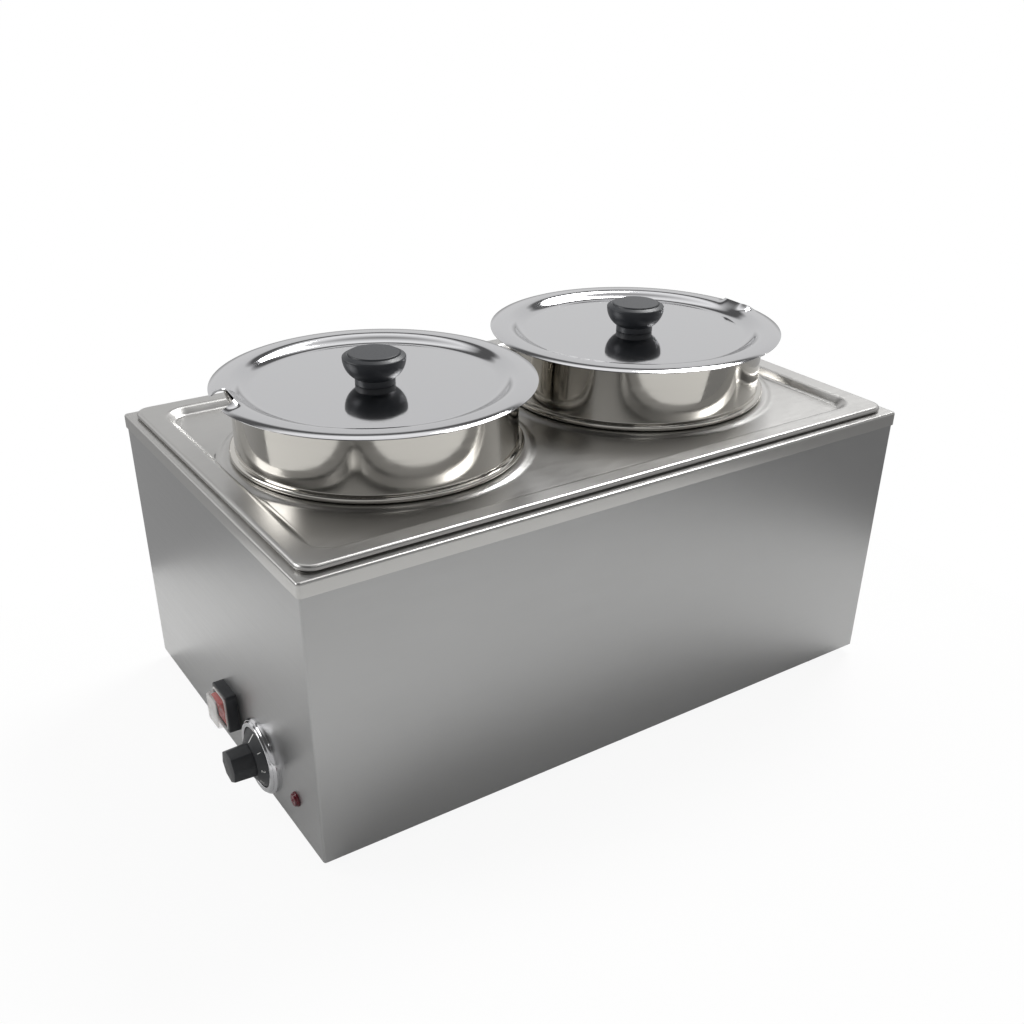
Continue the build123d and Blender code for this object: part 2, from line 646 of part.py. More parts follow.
# Lid knobs with their screws and washers
KNOB_SEAT = LID_FLOOR + LID_SHEET / 2
for side in SIDES:
    with BuildPart() as lid_knob:
        with BuildSketch(upright(pot_x(side), z=KNOB_SEAT)):
            with BuildLine():
                neck = Polyline((0, 0), (KNOB_NECK, 0), (KNOB_NECK, KNOB_NECK_TOP))
                bowl = ThreePointArc(neck @ 1, KNOB_BOWL_MIDDLE, (KNOB_HEAD, KNOB_HEAD_WIDEST))
                shoulder_end = (KNOB_DISC + KNOB_DISC_EDGE, KNOB_SHOULDER)
                shoulder = ThreePointArc(bowl @ 1, KNOB_SHOULDER_MIDDLE, shoulder_end)
                Polyline(
                    shoulder @ 1,
                    (KNOB_DISC, KNOB_SHOULDER),
                    (KNOB_DISC, KNOB_HEIGHT - KNOB_DISC_EDGE),
                    (KNOB_DISC - KNOB_DISC_EDGE, KNOB_HEIGHT),
                    (0, KNOB_HEIGHT),
                    (0, 0),
                )
            make_face()
        revolve(axis=upright_axis(pot_x(side)))
        with BuildSketch(Plane((pot_x(side), 0, KNOB_SEAT))):
            Circle(LID_SCREW_RADIUS + HOLE_GAP)
        extrude(amount=LID_SCREW_HOLE, mode=Mode.SUBTRACT)
    lid_knob.part.label = f"lid_knob_{side}"
    export_step(lid_knob.part, f"parts/lid_knob_{side}.step")

    washer_top = LID_FLOOR - LID_SHEET / 2
    with BuildPart() as lid_washer:
        with BuildSketch(Plane((pot_x(side), 0, washer_top))):
            Circle(LID_WASHER_RADIUS)
            Circle(LID_SCREW_RADIUS + HOLE_GAP, mode=Mode.SUBTRACT)
        extrude(amount=-LID_WASHER_SHEET)
    lid_washer.part.label = f"lid_washer_{side}"
    export_step(lid_washer.part, f"parts/lid_washer_{side}.step")

    with BuildPart() as lid_screw:
        with BuildSketch(Plane((pot_x(side), 0, washer_top - LID_WASHER_SHEET))):
            Circle(LID_SCREW_HEAD)
        extrude(amount=-LID_SCREW_HEAD_HEIGHT)
        fillet(lid_screw.edges().group_by(Axis.Z)[0], LID_SCREW_HEAD_ROUND)
        with BuildSketch(Plane((pot_x(side), 0, washer_top - LID_WASHER_SHEET))):
            Circle(LID_SCREW_RADIUS)
        extrude(amount=LID_WASHER_SHEET + LID_SHEET + LID_SCREW_GRIP)
    lid_screw.part.label = f"lid_screw_{side}"
    export_step(lid_screw.part, f"parts/lid_screw_{side}.step")

# Rocker switch: body through the wall, frame round it, rocker on two pins, splash boot
PIVOT_PLANE = Plane((WALL_X - PIVOT_REACH, SWITCH_Y, SWITCH_Z), x_dir=(-1, 0, 0), z_dir=(0, 1, 0))
with BuildPart() as switch_body:
    with BuildSketch(wall(SWITCH_Y, SWITCH_Z)):
        RectangleRounded(SWITCH_FLANGE_WIDTH, SWITCH_FLANGE_HEIGHT, SWITCH_FLANGE_CORNER)
    extrude(amount=SWITCH_FLANGE)
    with BuildSketch(wall(SWITCH_Y, SWITCH_Z)):
        RectangleRounded(
            SWITCH_CUT_WIDTH + 2 * SWITCH_COLLAR_LAP,
            SWITCH_CUT_HEIGHT + 2 * SWITCH_COLLAR_LAP,
            SWITCH_COLLAR_CORNER,
        )
    extrude(amount=SWITCH_COLLAR)
    with BuildSketch(wall(SWITCH_Y, SWITCH_Z)):
        Rectangle(SWITCH_CUT_WIDTH - 2 * SWITCH_ROOM, SWITCH_CUT_HEIGHT - 2 * SWITCH_ROOM)
    extrude(amount=-SWITCH_DEPTH)
    with BuildSketch(wall(SWITCH_Y, SWITCH_Z, SWITCH_COLLAR)):
        Rectangle(WELL_WIDTH, WELL_HEIGHT)
    extrude(amount=-(SWITCH_COLLAR + WELL_DEPTH), mode=Mode.SUBTRACT)
    with BuildSketch(PIVOT_PLANE):
        Circle(PIVOT_RADIUS + TURNING_GAP)
    extrude(amount=SWITCH_CUT_WIDTH, both=True, mode=Mode.SUBTRACT)
switch_body.part.label = "switch_body"
export_step(switch_body.part, "parts/switch_body.step")

with BuildPart() as switch_frame:
    with BuildSketch(wall(SWITCH_Y, SWITCH_Z)):
        RectangleRounded(FRAME_WIDTH, FRAME_HEIGHT, FRAME_CORNER)
        RectangleRounded(
            SWITCH_CUT_WIDTH + 2 * FRAME_WINDOW_LAP,
            SWITCH_CUT_HEIGHT + 2 * FRAME_WINDOW_LAP,
            FRAME_WINDOW_CORNER,
            mode=Mode.SUBTRACT,
        )
    extrude(amount=FRAME_REACH)
    with BuildSketch(wall(SWITCH_Y, SWITCH_Z)):
        RectangleRounded(
            SWITCH_FLANGE_WIDTH + 2 * SWITCH_ROOM,
            SWITCH_FLANGE_HEIGHT + 2 * SWITCH_ROOM,
            SWITCH_FLANGE_CORNER,
        )
    extrude(amount=SWITCH_FLANGE + SEAT_GAP, mode=Mode.SUBTRACT)
    chamfer(switch_frame.faces().sort_by(Axis.X)[0].outer_wire().edges(), FRAME_EDGE)
switch_frame.part.label = "switch_frame"
export_step(switch_frame.part, "parts/switch_frame.step")

with BuildPart() as switch_rocker:
    with BuildSketch(PIVOT_PLANE.rotated((0, -ROCKER_TILT, 0))):
        with BuildLine():
            Polyline(
                (ROCKER_FACE, -ROCKER_HALF),
                (ROCKER_FACE / 2, -ROCKER_HALF),
                (-ROCKER_HEEL, -ROCKER_HEEL_HALF),
                (-ROCKER_HEEL, ROCKER_HEEL_HALF),
                (ROCKER_FACE / 2, ROCKER_HALF),
                (ROCKER_FACE, ROCKER_HALF),
            )
            ThreePointArc(
                (ROCKER_FACE, ROCKER_HALF),
                (ROCKER_FACE - ROCKER_HOLLOW, 0),
                (ROCKER_FACE, -ROCKER_HALF),
            )
        make_face()
    extrude(amount=ROCKER_WIDTH / 2, both=True)
    with BuildSketch(PIVOT_PLANE):
        Circle(PIVOT_RADIUS)
    extrude(amount=SWITCH_CUT_WIDTH / 2, both=True)
switch_rocker.part.label = "switch_rocker"
export_step(switch_rocker.part, "parts/switch_rocker.step")

with BuildPart() as boot_hollow:
    with BuildSketch(wall(SWITCH_Y, SWITCH_Z, FRAME_REACH)):
        RectangleRounded(
            BOOT_WIDTH - 2 * BOOT_SHEET,
            BOOT_HEIGHT - 2 * BOOT_SHEET,
            BOOT_FOOT_CORNER - BOOT_SHEET,
        )
    with BuildSketch(wall(SWITCH_Y, SWITCH_Z, BOOT_REACH - BOOT_SHEET)):
        RectangleRounded(
            BOOT_WIDTH - 2 * (BOOT_TAPER + BOOT_SHEET),
            BOOT_HEIGHT - 2 * (BOOT_TAPER + BOOT_SHEET),
            BOOT_TOP_CORNER - BOOT_SHEET,
        )
    loft()

with BuildPart() as switch_boot:
    with BuildSketch(wall(SWITCH_Y, SWITCH_Z, FRAME_REACH)):
        RectangleRounded(BOOT_WIDTH, BOOT_HEIGHT, BOOT_FOOT_CORNER)
    with BuildSketch(wall(SWITCH_Y, SWITCH_Z, BOOT_REACH)):
        RectangleRounded(BOOT_WIDTH - 2 * BOOT_TAPER, BOOT_HEIGHT - 2 * BOOT_TAPER, BOOT_TOP_CORNER)
    loft()
    fillet(switch_boot.faces().sort_by(Axis.X)[0].edges(), BOOT_EDGE)
    with BuildSketch(wall(SWITCH_Y, SWITCH_Z, FRAME_REACH)):
        RectangleRounded(
            FRAME_WIDTH - 2 * BOOT_FLANGE_INSET,
            FRAME_HEIGHT - 2 * BOOT_FLANGE_INSET,
            BOOT_FLANGE_CORNER,
        )
    extrude(amount=BOOT_SHEET)
    add(boot_hollow.part, mode=Mode.SUBTRACT)
switch_boot.part.label = "switch_boot"
export_step(switch_boot.part, "parts/switch_boot.step")

# Thermostat: bezel on the wall, knob with skirt dial on the shaft, body behind the wall
with BuildPart() as dial_bezel:
    with BuildSketch(wall_section(DIAL_Y, DIAL_Z)):
        with BuildLine():
            edge = Polyline(
                (BEZEL_BORE + BEZEL_CHAMFER, BEZEL_REACH),
                (BEZEL_BORE, BEZEL_REACH - BEZEL_CHAMFER),
                (BEZEL_BORE, 0),
                (BEZEL_RADIUS, 0),
                (BEZEL_RADIUS, BEZEL_RIM),
            )
            crown = ThreePointArc(edge @ 1, BEZEL_CURVE, (BEZEL_FLAT, BEZEL_REACH))
            Line(crown @ 1, edge @ 0)
        make_face()
    revolve(axis=wall_axis(DIAL_Y, DIAL_Z))
dial_bezel.part.label = "dial_bezel"
export_step(dial_bezel.part, "parts/dial_bezel.step")

with BuildPart() as thermostat_knob:
    with BuildSketch(wall(DIAL_Y, DIAL_Z, SKIRT_BACK)):
        Circle(SKIRT_RADIUS)
    extrude(amount=SKIRT_FRONT - SKIRT_BACK)
    chamfer(thermostat_knob.edges().group_by(Axis.X)[0], SKIRT_EDGE)
    with BuildSketch(wall(DIAL_Y, DIAL_Z, SKIRT_FRONT)):
        RegularPolygon(GRIP_RADIUS, GRIP_SIDES, rotation=GRIP_TURN)
    with BuildSketch(wall(DIAL_Y, DIAL_Z, KNOB_REACH)):
        RegularPolygon(GRIP_END_RADIUS, GRIP_SIDES, rotation=GRIP_TURN)
    loft()
    fillet(thermostat_knob.faces().sort_by(Axis.X)[0].edges(), GRIP_EDGE)
    with BuildSketch(wall(DIAL_Y, DIAL_Z)):
        Circle(SHAFT_RADIUS + SHAFT_FIT)
    extrude(amount=SHAFT_REACH, mode=Mode.SUBTRACT)
thermostat_knob.part.label = "thermostat_knob"
export_step(thermostat_knob.part, "parts/thermostat_knob.step")

with BuildPart() as thermostat_shaft:
    with BuildSketch(wall(DIAL_Y, DIAL_Z, -CASE_SHEET - SHAFT_INSIDE)):
        Circle(SHAFT_RADIUS)
    extrude(amount=CASE_SHEET + SHAFT_INSIDE + SHAFT_REACH)
    with BuildSketch(wall(DIAL_Y, DIAL_Z, SKIRT_BACK)):
        with Locations((0, SHAFT_FLAT + SHAFT_RADIUS)):
            Rectangle(2 * SHAFT_RADIUS, 2 * SHAFT_RADIUS)
    extrude(amount=SHAFT_REACH, mode=Mode.SUBTRACT)
thermostat_shaft.part.label = "thermostat_shaft"
export_step(thermostat_shaft.part, "parts/thermostat_shaft.step")

with BuildPart() as thermostat_body:
    with BuildSketch(wall(DIAL_Y, DIAL_Z, -CASE_SHEET)):
        RectangleRounded(THERMOSTAT_WIDTH, THERMOSTAT_HEIGHT, THERMOSTAT_CORNER)
    extrude(amount=-THERMOSTAT_PLATE)
    with BuildSketch(wall(DIAL_Y, DIAL_Z, -CASE_SHEET)):
        Rectangle(THERMOSTAT_WIDTH - 2 * THERMOSTAT_PLATE_LAP, THERMOSTAT_HEIGHT - 2 * THERMOSTAT_PLATE_LAP)
    extrude(amount=-THERMOSTAT_DEPTH)
    with BuildSketch(wall(DIAL_Y, DIAL_Z, -CASE_SHEET)):
        Circle(BUSH_RADIUS)
    extrude(amount=CASE_SHEET + BUSH_REACH)
    with BuildSketch(wall(DIAL_Y, DIAL_Z, BUSH_REACH)):
        Circle(SHAFT_RADIUS + TURNING_GAP)
    extrude(amount=-(CASE_SHEET + SHAFT_WELL), mode=Mode.SUBTRACT)
    with BuildSketch(wall(DIAL_Y, DIAL_Z, -CASE_SHEET)):
        with GridLocations(0, THERMOSTAT_SCREW_SPAN, 1, 2):
            Circle(THERMOSTAT_SCREW_RADIUS + TURNING_GAP)
    extrude(amount=-THERMOSTAT_SCREW_HOLE, mode=Mode.SUBTRACT)
thermostat_body.part.label = "thermostat_body"
export_step(thermostat_body.part, "parts/thermostat_body.step")

with BuildPart() as thermostat_screws:
    with BuildSketch(wall(DIAL_Y, DIAL_Z)):
        with GridLocations(0, THERMOSTAT_SCREW_SPAN, 1, 2):
            Circle(THERMOSTAT_SCREW_HEAD)
    extrude(amount=THERMOSTAT_SCREW_HEAD_HEIGHT)
    fillet(thermostat_screws.edges().group_by(Axis.X)[0], THERMOSTAT_SCREW_HEAD_ROUND)
    with BuildSketch(wall(DIAL_Y, DIAL_Z)):
        with GridLocations(0, THERMOSTAT_SCREW_SPAN, 1, 2):
            Circle(THERMOSTAT_SCREW_RADIUS)
    extrude(amount=-CASE_SHEET - THERMOSTAT_SCREW_LENGTH)
thermostat_screws.part.label = "thermostat_screws"
export_step(thermostat_screws.part, "parts/thermostat_screws.step")

# Sensing bulb under the tank, with the capillary that leads to the thermostat
BULB_Y = DIAL_Y + BULB_FROM_DIAL
BULB_Z = TANK_UNDER - SEAT_GAP - BULB_RADIUS
BULB_X = WALL_X + BULB_FROM_WALL
CAPILLARY_START = WALL_X + CASE_SHEET + THERMOSTAT_DEPTH
CAPILLARY_RISE = WALL_X + CAPILLARY_RISE_FROM_WALL
CAPILLARY_Z = DIAL_Z + CAPILLARY_OVER_DIAL
with BuildPart() as thermostat_bulb:
    with BuildLine():
        FilletPolyline(
            (CAPILLARY_START, BULB_Y, CAPILLARY_Z),
            (CAPILLARY_RISE, BULB_Y, CAPILLARY_Z),
            (CAPILLARY_RISE, BULB_Y, BULB_Z),
            (BULB_X, BULB_Y, BULB_Z),
            radius=CAPILLARY_BEND,
        )
    with BuildSketch(Plane((CAPILLARY_START, BULB_Y, CAPILLARY_Z), z_dir=(1, 0, 0))):
        Circle(CAPILLARY_RADIUS)
    sweep()
    with BuildSketch(Plane((BULB_X, BULB_Y, BULB_Z), z_dir=(1, 0, 0))):
        Circle(BULB_RADIUS)
    extrude(amount=BULB_LENGTH)
thermostat_bulb.part.label = "thermostat_bulb"
export_step(thermostat_bulb.part, "parts/thermostat_bulb.step")

with BuildPart() as bulb_clips:
    for clip_place in CLIP_PLACES:
        with BuildSketch(Plane((BULB_X + clip_place, BULB_Y, 0), x_dir=(0, 1, 0), z_dir=(1, 0, 0))):
            with BuildLine():
                reach = BULB_RADIUS + SEAT_GAP + CLIP_SHEET / 2
                tab_z = TANK_UNDER - CLIP_SHEET / 2
                Polyline((-CLIP_HALF, tab_z), (-reach, tab_z), (-reach, BULB_Z))
                ThreePointArc((-reach, BULB_Z), (0, BULB_Z - reach), (reach, BULB_Z))
                Polyline((reach, BULB_Z), (reach, tab_z), (CLIP_HALF, tab_z))
            trace(line_width=CLIP_SHEET)
        extrude(amount=CLIP_WIDTH)
bulb_clips.part.label = "bulb_clips"
export_step(bulb_clips.part, "parts/bulb_clips.step")

# Indicator lamp
with BuildPart() as indicator_lens:
    with BuildSketch(wall_section(LAMP_Y, LAMP_Z)):
        with BuildLine():
            Polyline(
                (0, LENS_REACH),
                (0, 0),
                (LENS_FLANGE, 0),
                (LENS_FLANGE, LENS_FLANGE_SHEET),
                (LENS_RADIUS, LENS_FOOT),
                (LENS_RADIUS, LENS_DOME),
            )
            TangentArc((0, LENS_REACH), (LENS_RADIUS, LENS_DOME), tangent=(1, 0))
        make_face()
    revolve(axis=wall_axis(LAMP_Y, LAMP_Z))
indicator_lens.part.label = "indicator_lens"
export_step(indicator_lens.part, "parts/indicator_lens.step")

with BuildPart() as indicator_body:
    with BuildSketch(wall(LAMP_Y, LAMP_Z)):
        Circle(LAMP_BARREL)
    extrude(amount=-LAMP_DEPTH)
indicator_body.part.label = "indicator_body"
export_step(indicator_body.part, "parts/indicator_body.step")

with BuildPart() as indicator_nut:
    with BuildSketch(wall(LAMP_Y, LAMP_Z, -CASE_SHEET)):
        RegularPolygon(LAMP_NUT_RADIUS, NUT_SIDES)
        Circle(LAMP_BARREL + HOLE_GAP, mode=Mode.SUBTRACT)
    extrude(amount=-LAMP_NUT_HEIGHT)
indicator_nut.part.label = "indicator_nut"
export_step(indicator_nut.part, "parts/indicator_nut.step")

# Tubular heating element in four passes, pressed up against the tank by three bars
with BuildPart() as heating_element:
    with BuildLine():
        FilletPolyline(
            (CASE_X + ELEMENT_TAIL, -1.5 * ELEMENT_PITCH, ELEMENT_Z),
            (CASE_X + ELEMENT_REACH, -1.5 * ELEMENT_PITCH, ELEMENT_Z),
            (CASE_X + ELEMENT_REACH, -0.5 * ELEMENT_PITCH, ELEMENT_Z),
            (CASE_X + ELEMENT_RETURN, -0.5 * ELEMENT_PITCH, ELEMENT_Z),
            (CASE_X + ELEMENT_RETURN, 0.5 * ELEMENT_PITCH, ELEMENT_Z),
            (CASE_X + ELEMENT_REACH, 0.5 * ELEMENT_PITCH, ELEMENT_Z),
            (CASE_X + ELEMENT_REACH, 1.5 * ELEMENT_PITCH, ELEMENT_Z),
            (CASE_X + ELEMENT_TAIL, 1.5 * ELEMENT_PITCH, ELEMENT_Z),
            radius=ELEMENT_BEND,
        )
    with BuildSketch(Plane((CASE_X + ELEMENT_TAIL, -1.5 * ELEMENT_PITCH, ELEMENT_Z), z_dir=(1, 0, 0))):
        Circle(ELEMENT_RADIUS)
    sweep()
    for pin_y in (-1.5 * ELEMENT_PITCH, 1.5 * ELEMENT_PITCH):
        with BuildSketch(Plane((CASE_X + ELEMENT_TAIL, pin_y, ELEMENT_Z), z_dir=(-1, 0, 0))):
            Circle(ELEMENT_RADIUS / 2)
        extrude(amount=ELEMENT_PIN)
heating_element.part.label = "heating_element"
export_step(heating_element.part, "parts/heating_element.step")

CLAMP_TOP = ELEMENT_Z - ELEMENT_RADIUS - SEAT_GAP
CLAMP_STUDS = [(x, y) for x in CLAMP_PLACES for y in (-STUD_Y, STUD_Y)]
with BuildPart() as element_clamps:
    with BuildSketch(level(CLAMP_TOP)):
        with Locations(*[(x, 0) for x in CLAMP_PLACES]):
            RectangleRounded(CLAMP_WIDTH, CLAMP_LENGTH, CLAMP_CORNER)
        with Locations(*CLAMP_STUDS):
            Circle(STUD_RADIUS + HOLE_GAP, mode=Mode.SUBTRACT)
    extrude(amount=-CLAMP_SHEET)
element_clamps.part.label = "element_clamps"
export_step(element_clamps.part, "parts/element_clamps.step")

with BuildPart() as clamp_studs:
    with BuildSketch(level(TANK_UNDER)):
        with Locations(*CLAMP_STUDS):
            Circle(STUD_RADIUS)
    extrude(amount=-STUD_LENGTH)
clamp_studs.part.label = "clamp_studs"
export_step(clamp_studs.part, "parts/clamp_studs.step")

with BuildPart() as clamp_nuts:
    with BuildSketch(level(CLAMP_TOP - CLAMP_SHEET)):
        with Locations(*CLAMP_STUDS):
            RegularPolygon(NUT_RADIUS, NUT_SIDES)
            Circle(STUD_RADIUS + HOLE_GAP, mode=Mode.SUBTRACT)
    extrude(amount=-NUT_HEIGHT)
clamp_nuts.part.label = "clamp_nuts"
export_step(clamp_nuts.part, "parts/clamp_nuts.step")

# Over-temperature cut-out on the tank's underside
LIMIT_X = CASE_X + LIMIT_FROM_MIDDLE
with BuildPart() as limit_cutout:
    with BuildSketch(upright(LIMIT_X)):
        with BuildLine():
            Polyline(
                (0, TANK_UNDER),
                (LIMIT_FLANGE, TANK_UNDER),
                (LIMIT_FLANGE, TANK_UNDER - LIMIT_FLANGE_SHEET),
                (LIMIT_RADIUS, TANK_UNDER - LIMIT_FLANGE_SHEET),
                (LIMIT_RADIUS, TANK_UNDER - LIMIT_HEIGHT),
                (0, TANK_UNDER - LIMIT_HEIGHT),
                close=True,
            )
        make_face()
    revolve(axis=upright_axis(LIMIT_X))
limit_cutout.part.label = "limit_cutout"
export_step(limit_cutout.part, "parts/limit_cutout.step")

# Terminal block and earth stud on the base plate, bushing for the mains lead in the rear wall
with BuildPart() as terminal_block:
    with BuildSketch(level(CASE_BOTTOM)):
        with Locations((TERMINAL_X, TERMINAL_Y)):
            RectangleRounded(TERMINAL_LENGTH, TERMINAL_WIDTH, TERMINAL_CORNER)
    extrude(amount=TERMINAL_HEIGHT)
    with BuildSketch(Plane((CASE_X + TERMINAL_X, TERMINAL_Y, CASE_BOTTOM + TERMINAL_HEIGHT))):
        with GridLocations(TERMINAL_PITCH, 0, TERMINAL_WAYS, 1):
            Circle(TERMINAL_SCREW_HOLE)
    extrude(amount=-TERMINAL_SCREW_DEPTH, mode=Mode.SUBTRACT)
    wire_face = TERMINAL_Y - TERMINAL_WIDTH / 2
    with BuildSketch(upright(CASE_X + TERMINAL_X, wire_face, CASE_BOTTOM + TERMINAL_WIRE_HEIGHT)):
        with GridLocations(TERMINAL_PITCH, 0, TERMINAL_WAYS, 1):
            Circle(TERMINAL_WIRE_HOLE)
    extrude(amount=-TERMINAL_WIDTH, mode=Mode.SUBTRACT)
terminal_block.part.label = "terminal_block"
export_step(terminal_block.part, "parts/terminal_block.step")

with BuildPart() as earth_stud:
    with BuildSketch(Plane((CASE_X + EARTH_X, TERMINAL_Y, CASE_BOTTOM))):
        RegularPolygon(EARTH_NUT_RADIUS, NUT_SIDES)
    extrude(amount=EARTH_NUT_HEIGHT)
    with BuildSketch(Plane((CASE_X + EARTH_X, TERMINAL_Y, CASE_BOTTOM))):
        Circle(EARTH_STUD_RADIUS)
    extrude(amount=EARTH_STUD_LENGTH)
earth_stud.part.label = "earth_stud"
export_step(earth_stud.part, "parts/earth_stud.step")

with BuildPart() as cord_bushing:
    bushing_centre = (CASE_X + BUSHING_X, CASE_WIDTH / 2, BUSHING_Z)
    with BuildSketch(Plane(bushing_centre, x_dir=(0, 0, 1), z_dir=(-1, 0, 0))):
        with BuildLine():
            Polyline(
                (BUSHING_BORE, BUSHING_FLANGE_SHEET),
                (BUSHING_BORE, -BUSHING_LENGTH),
                (BUSHING_TIP, -BUSHING_LENGTH),
                (BUSHING_BARB, -CASE_SHEET - SEAT_GAP),
                (BUSHING_NECK, -CASE_SHEET - SEAT_GAP),
                (BUSHING_NECK, 0),
                (BUSHING_FLANGE, 0),
                (BUSHING_FLANGE_END, BUSHING_FLANGE_SHEET),
                close=True,
            )
        make_face()
    revolve(axis=Axis((CASE_X + BUSHING_X, 0, BUSHING_Z), (0, 1, 0)))
cord_bushing.part.label = "cord_bushing"
export_step(cord_bushing.part, "parts/cord_bushing.step")
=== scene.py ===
"""Visual model of a countertop food warmer with two lift-out pots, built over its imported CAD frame."""

import json
from math import atan2, cos, pi, radians, sin, sqrt

import bmesh
import bpy
from bpy.props import FloatProperty, FloatVectorProperty, PointerProperty
from mathutils import Matrix, Vector


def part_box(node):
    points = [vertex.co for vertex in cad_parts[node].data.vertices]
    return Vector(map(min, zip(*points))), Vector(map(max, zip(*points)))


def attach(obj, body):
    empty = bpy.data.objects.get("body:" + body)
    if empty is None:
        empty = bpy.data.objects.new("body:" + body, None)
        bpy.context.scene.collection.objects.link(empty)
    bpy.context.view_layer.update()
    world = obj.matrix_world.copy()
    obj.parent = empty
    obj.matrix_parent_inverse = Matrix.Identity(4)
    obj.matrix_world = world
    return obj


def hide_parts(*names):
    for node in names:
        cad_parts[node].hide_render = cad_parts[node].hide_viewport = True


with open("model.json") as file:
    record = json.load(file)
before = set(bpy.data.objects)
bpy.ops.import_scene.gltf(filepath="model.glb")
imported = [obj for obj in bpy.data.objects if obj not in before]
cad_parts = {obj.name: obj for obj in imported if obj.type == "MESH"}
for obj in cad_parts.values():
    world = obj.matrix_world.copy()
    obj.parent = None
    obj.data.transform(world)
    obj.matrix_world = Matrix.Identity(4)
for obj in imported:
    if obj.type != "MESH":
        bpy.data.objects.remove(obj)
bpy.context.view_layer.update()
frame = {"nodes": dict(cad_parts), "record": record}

bl_info = {
    "name": "Twin-pot food warmer",
    "version": (1, 0, 0),
    "blender": (4, 5, 0),
    "location": "View3D > Sidebar > Warmer",
    "description": "Builds the dressed model of a stainless food warmer with two pots and lids",
    "category": "Add Mesh",
}

# Places and heights that the CAD frame fixes, in metres
MM = 0.001
CASE_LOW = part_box("casing_front")[0]
CASE_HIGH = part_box("casing_rear")[1]
PAN_LOW, PAN_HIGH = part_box("water_pan")
PLATE_LOW, PLATE_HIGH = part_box("adapter_plate")
POT_LOW, POT_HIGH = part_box("pot_left")
KNOB_LOW, KNOB_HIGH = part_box("lid_knob_left")
CASE_X = (CASE_LOW.x + CASE_HIGH.x) / 2
WALL_X = CASE_LOW.x
DECK_Z = PAN_HIGH.z
PLATE_TOP = PLATE_HIGH.z
POT_RIM = POT_HIGH.z
SEAT_GAP = 0.1 * MM
SIDES = {"left": -1, "right": 1}
FINE = 0.001 * MM

# Width of the flat run beside a bend, which keeps the bend's shading off the flat sheet
FLAT_RUN = 0.6 * MM

# Depth of the tools that cut holes in the casing's sheet
CUT_DEPTH = 6 * MM

# How finely round shapes are divided
SPIN_STEPS = 160
LID_STEPS = 240
BEZEL_STEPS = 120
KNOB_STEPS = 96
SMALL_STEPS = 48
CORNER_STEPS = 12
BORDER_ROWS = 10
HOLLOW_STEPS = 10
SMOOTH_ANGLE = radians(32)

# Faces that lean apart by less than this count as one flat
LEVEL_ANGLE = radians(0.5)

# Table: its near and far corners in metres, and how much of it is plain white to the eye and in a mirror
TABLE_NEAR = Vector((-1.8, -1.8, 0))
TABLE_FAR = Vector((0.5, 0.34, 0))
TABLE_SEEN_WHITE = 0.92
TABLE_MIRRORED_WHITE = 0.05

# Camera: place in metres, directions, lens and sensor in millimetres, shift in picture widths
CAMERA_PLACE = (-0.48965, -0.7473, 0.58153)
CAMERA_AHEAD = Vector((0.47542, 0.72286, -0.50149))
CAMERA_RIGHT = Vector((0.83707, -0.54711, 0.00493))
CAMERA_LENS = 40.194
CAMERA_SENSOR = 36.0
CAMERA_SHIFT = (0.0120, 0.0843)

# Lamps: place and size in metres, power in watts
LAMPS = {
    "key_box": ((1.84, 0.78, 2.75), (1.2, 1.2), 70.0),
    "side_box": ((-2.0, 1.15, 1.5), (1.2, 1.2), 20.0),
    "front_strip": ((0.3, -0.6, 1.5), (1.8, 0.1), 1.3),
}

# Room: the way to its far wall, where its near side begins and ends to turn into its far side along that
# way, its strength, and the levels of both sides at the horizon, at heights between and overhead. The far
# side has a pale wall, a shade and a bright ceiling, the near side a dark ceiling
ROOM_WAY = (0.549, 0.835, 0.0)
ROOM_TURN = (-0.2, 0.6)
ROOM_STRENGTH = 1.3
ROOM_FAR = (0.32, {0.03: 0.32, 0.2: 0.64, 0.5: 0.64, 0.57: 0.1, 0.67: 0.1, 0.78: 1.0}, 1.0)
ROOM_NEAR = (0.2, {0.08: 0.4, 0.5: 0.4, 0.64: 0.06}, 0.06)


def linear(code):
    """Turns an sRGB hex value into linear red, green and blue."""
    channels = [int(code[start : start + 2], 16) / 255 for start in (0, 2, 4)]
    return tuple(c / 12.92 if c <= 0.04045 else ((c + 0.055) / 1.055) ** 2.4 for c in channels)


def length(name, millimetres, description):
    """A size that is written in millimetres and kept in metres."""
    return FloatProperty(
        name=name, description=description, default=millimetres * MM, unit="LENGTH", precision=5
    )


def angle(name, degrees, description):
    """A turn that is written in degrees and kept in radians."""
    return FloatProperty(name=name, description=description, default=radians(degrees), subtype="ANGLE")


def colour(name, code, description):
    """A colour that is written as sRGB hex and kept linear."""
    return FloatVectorProperty(name=name, description=description, default=linear(code), subtype="COLOR")


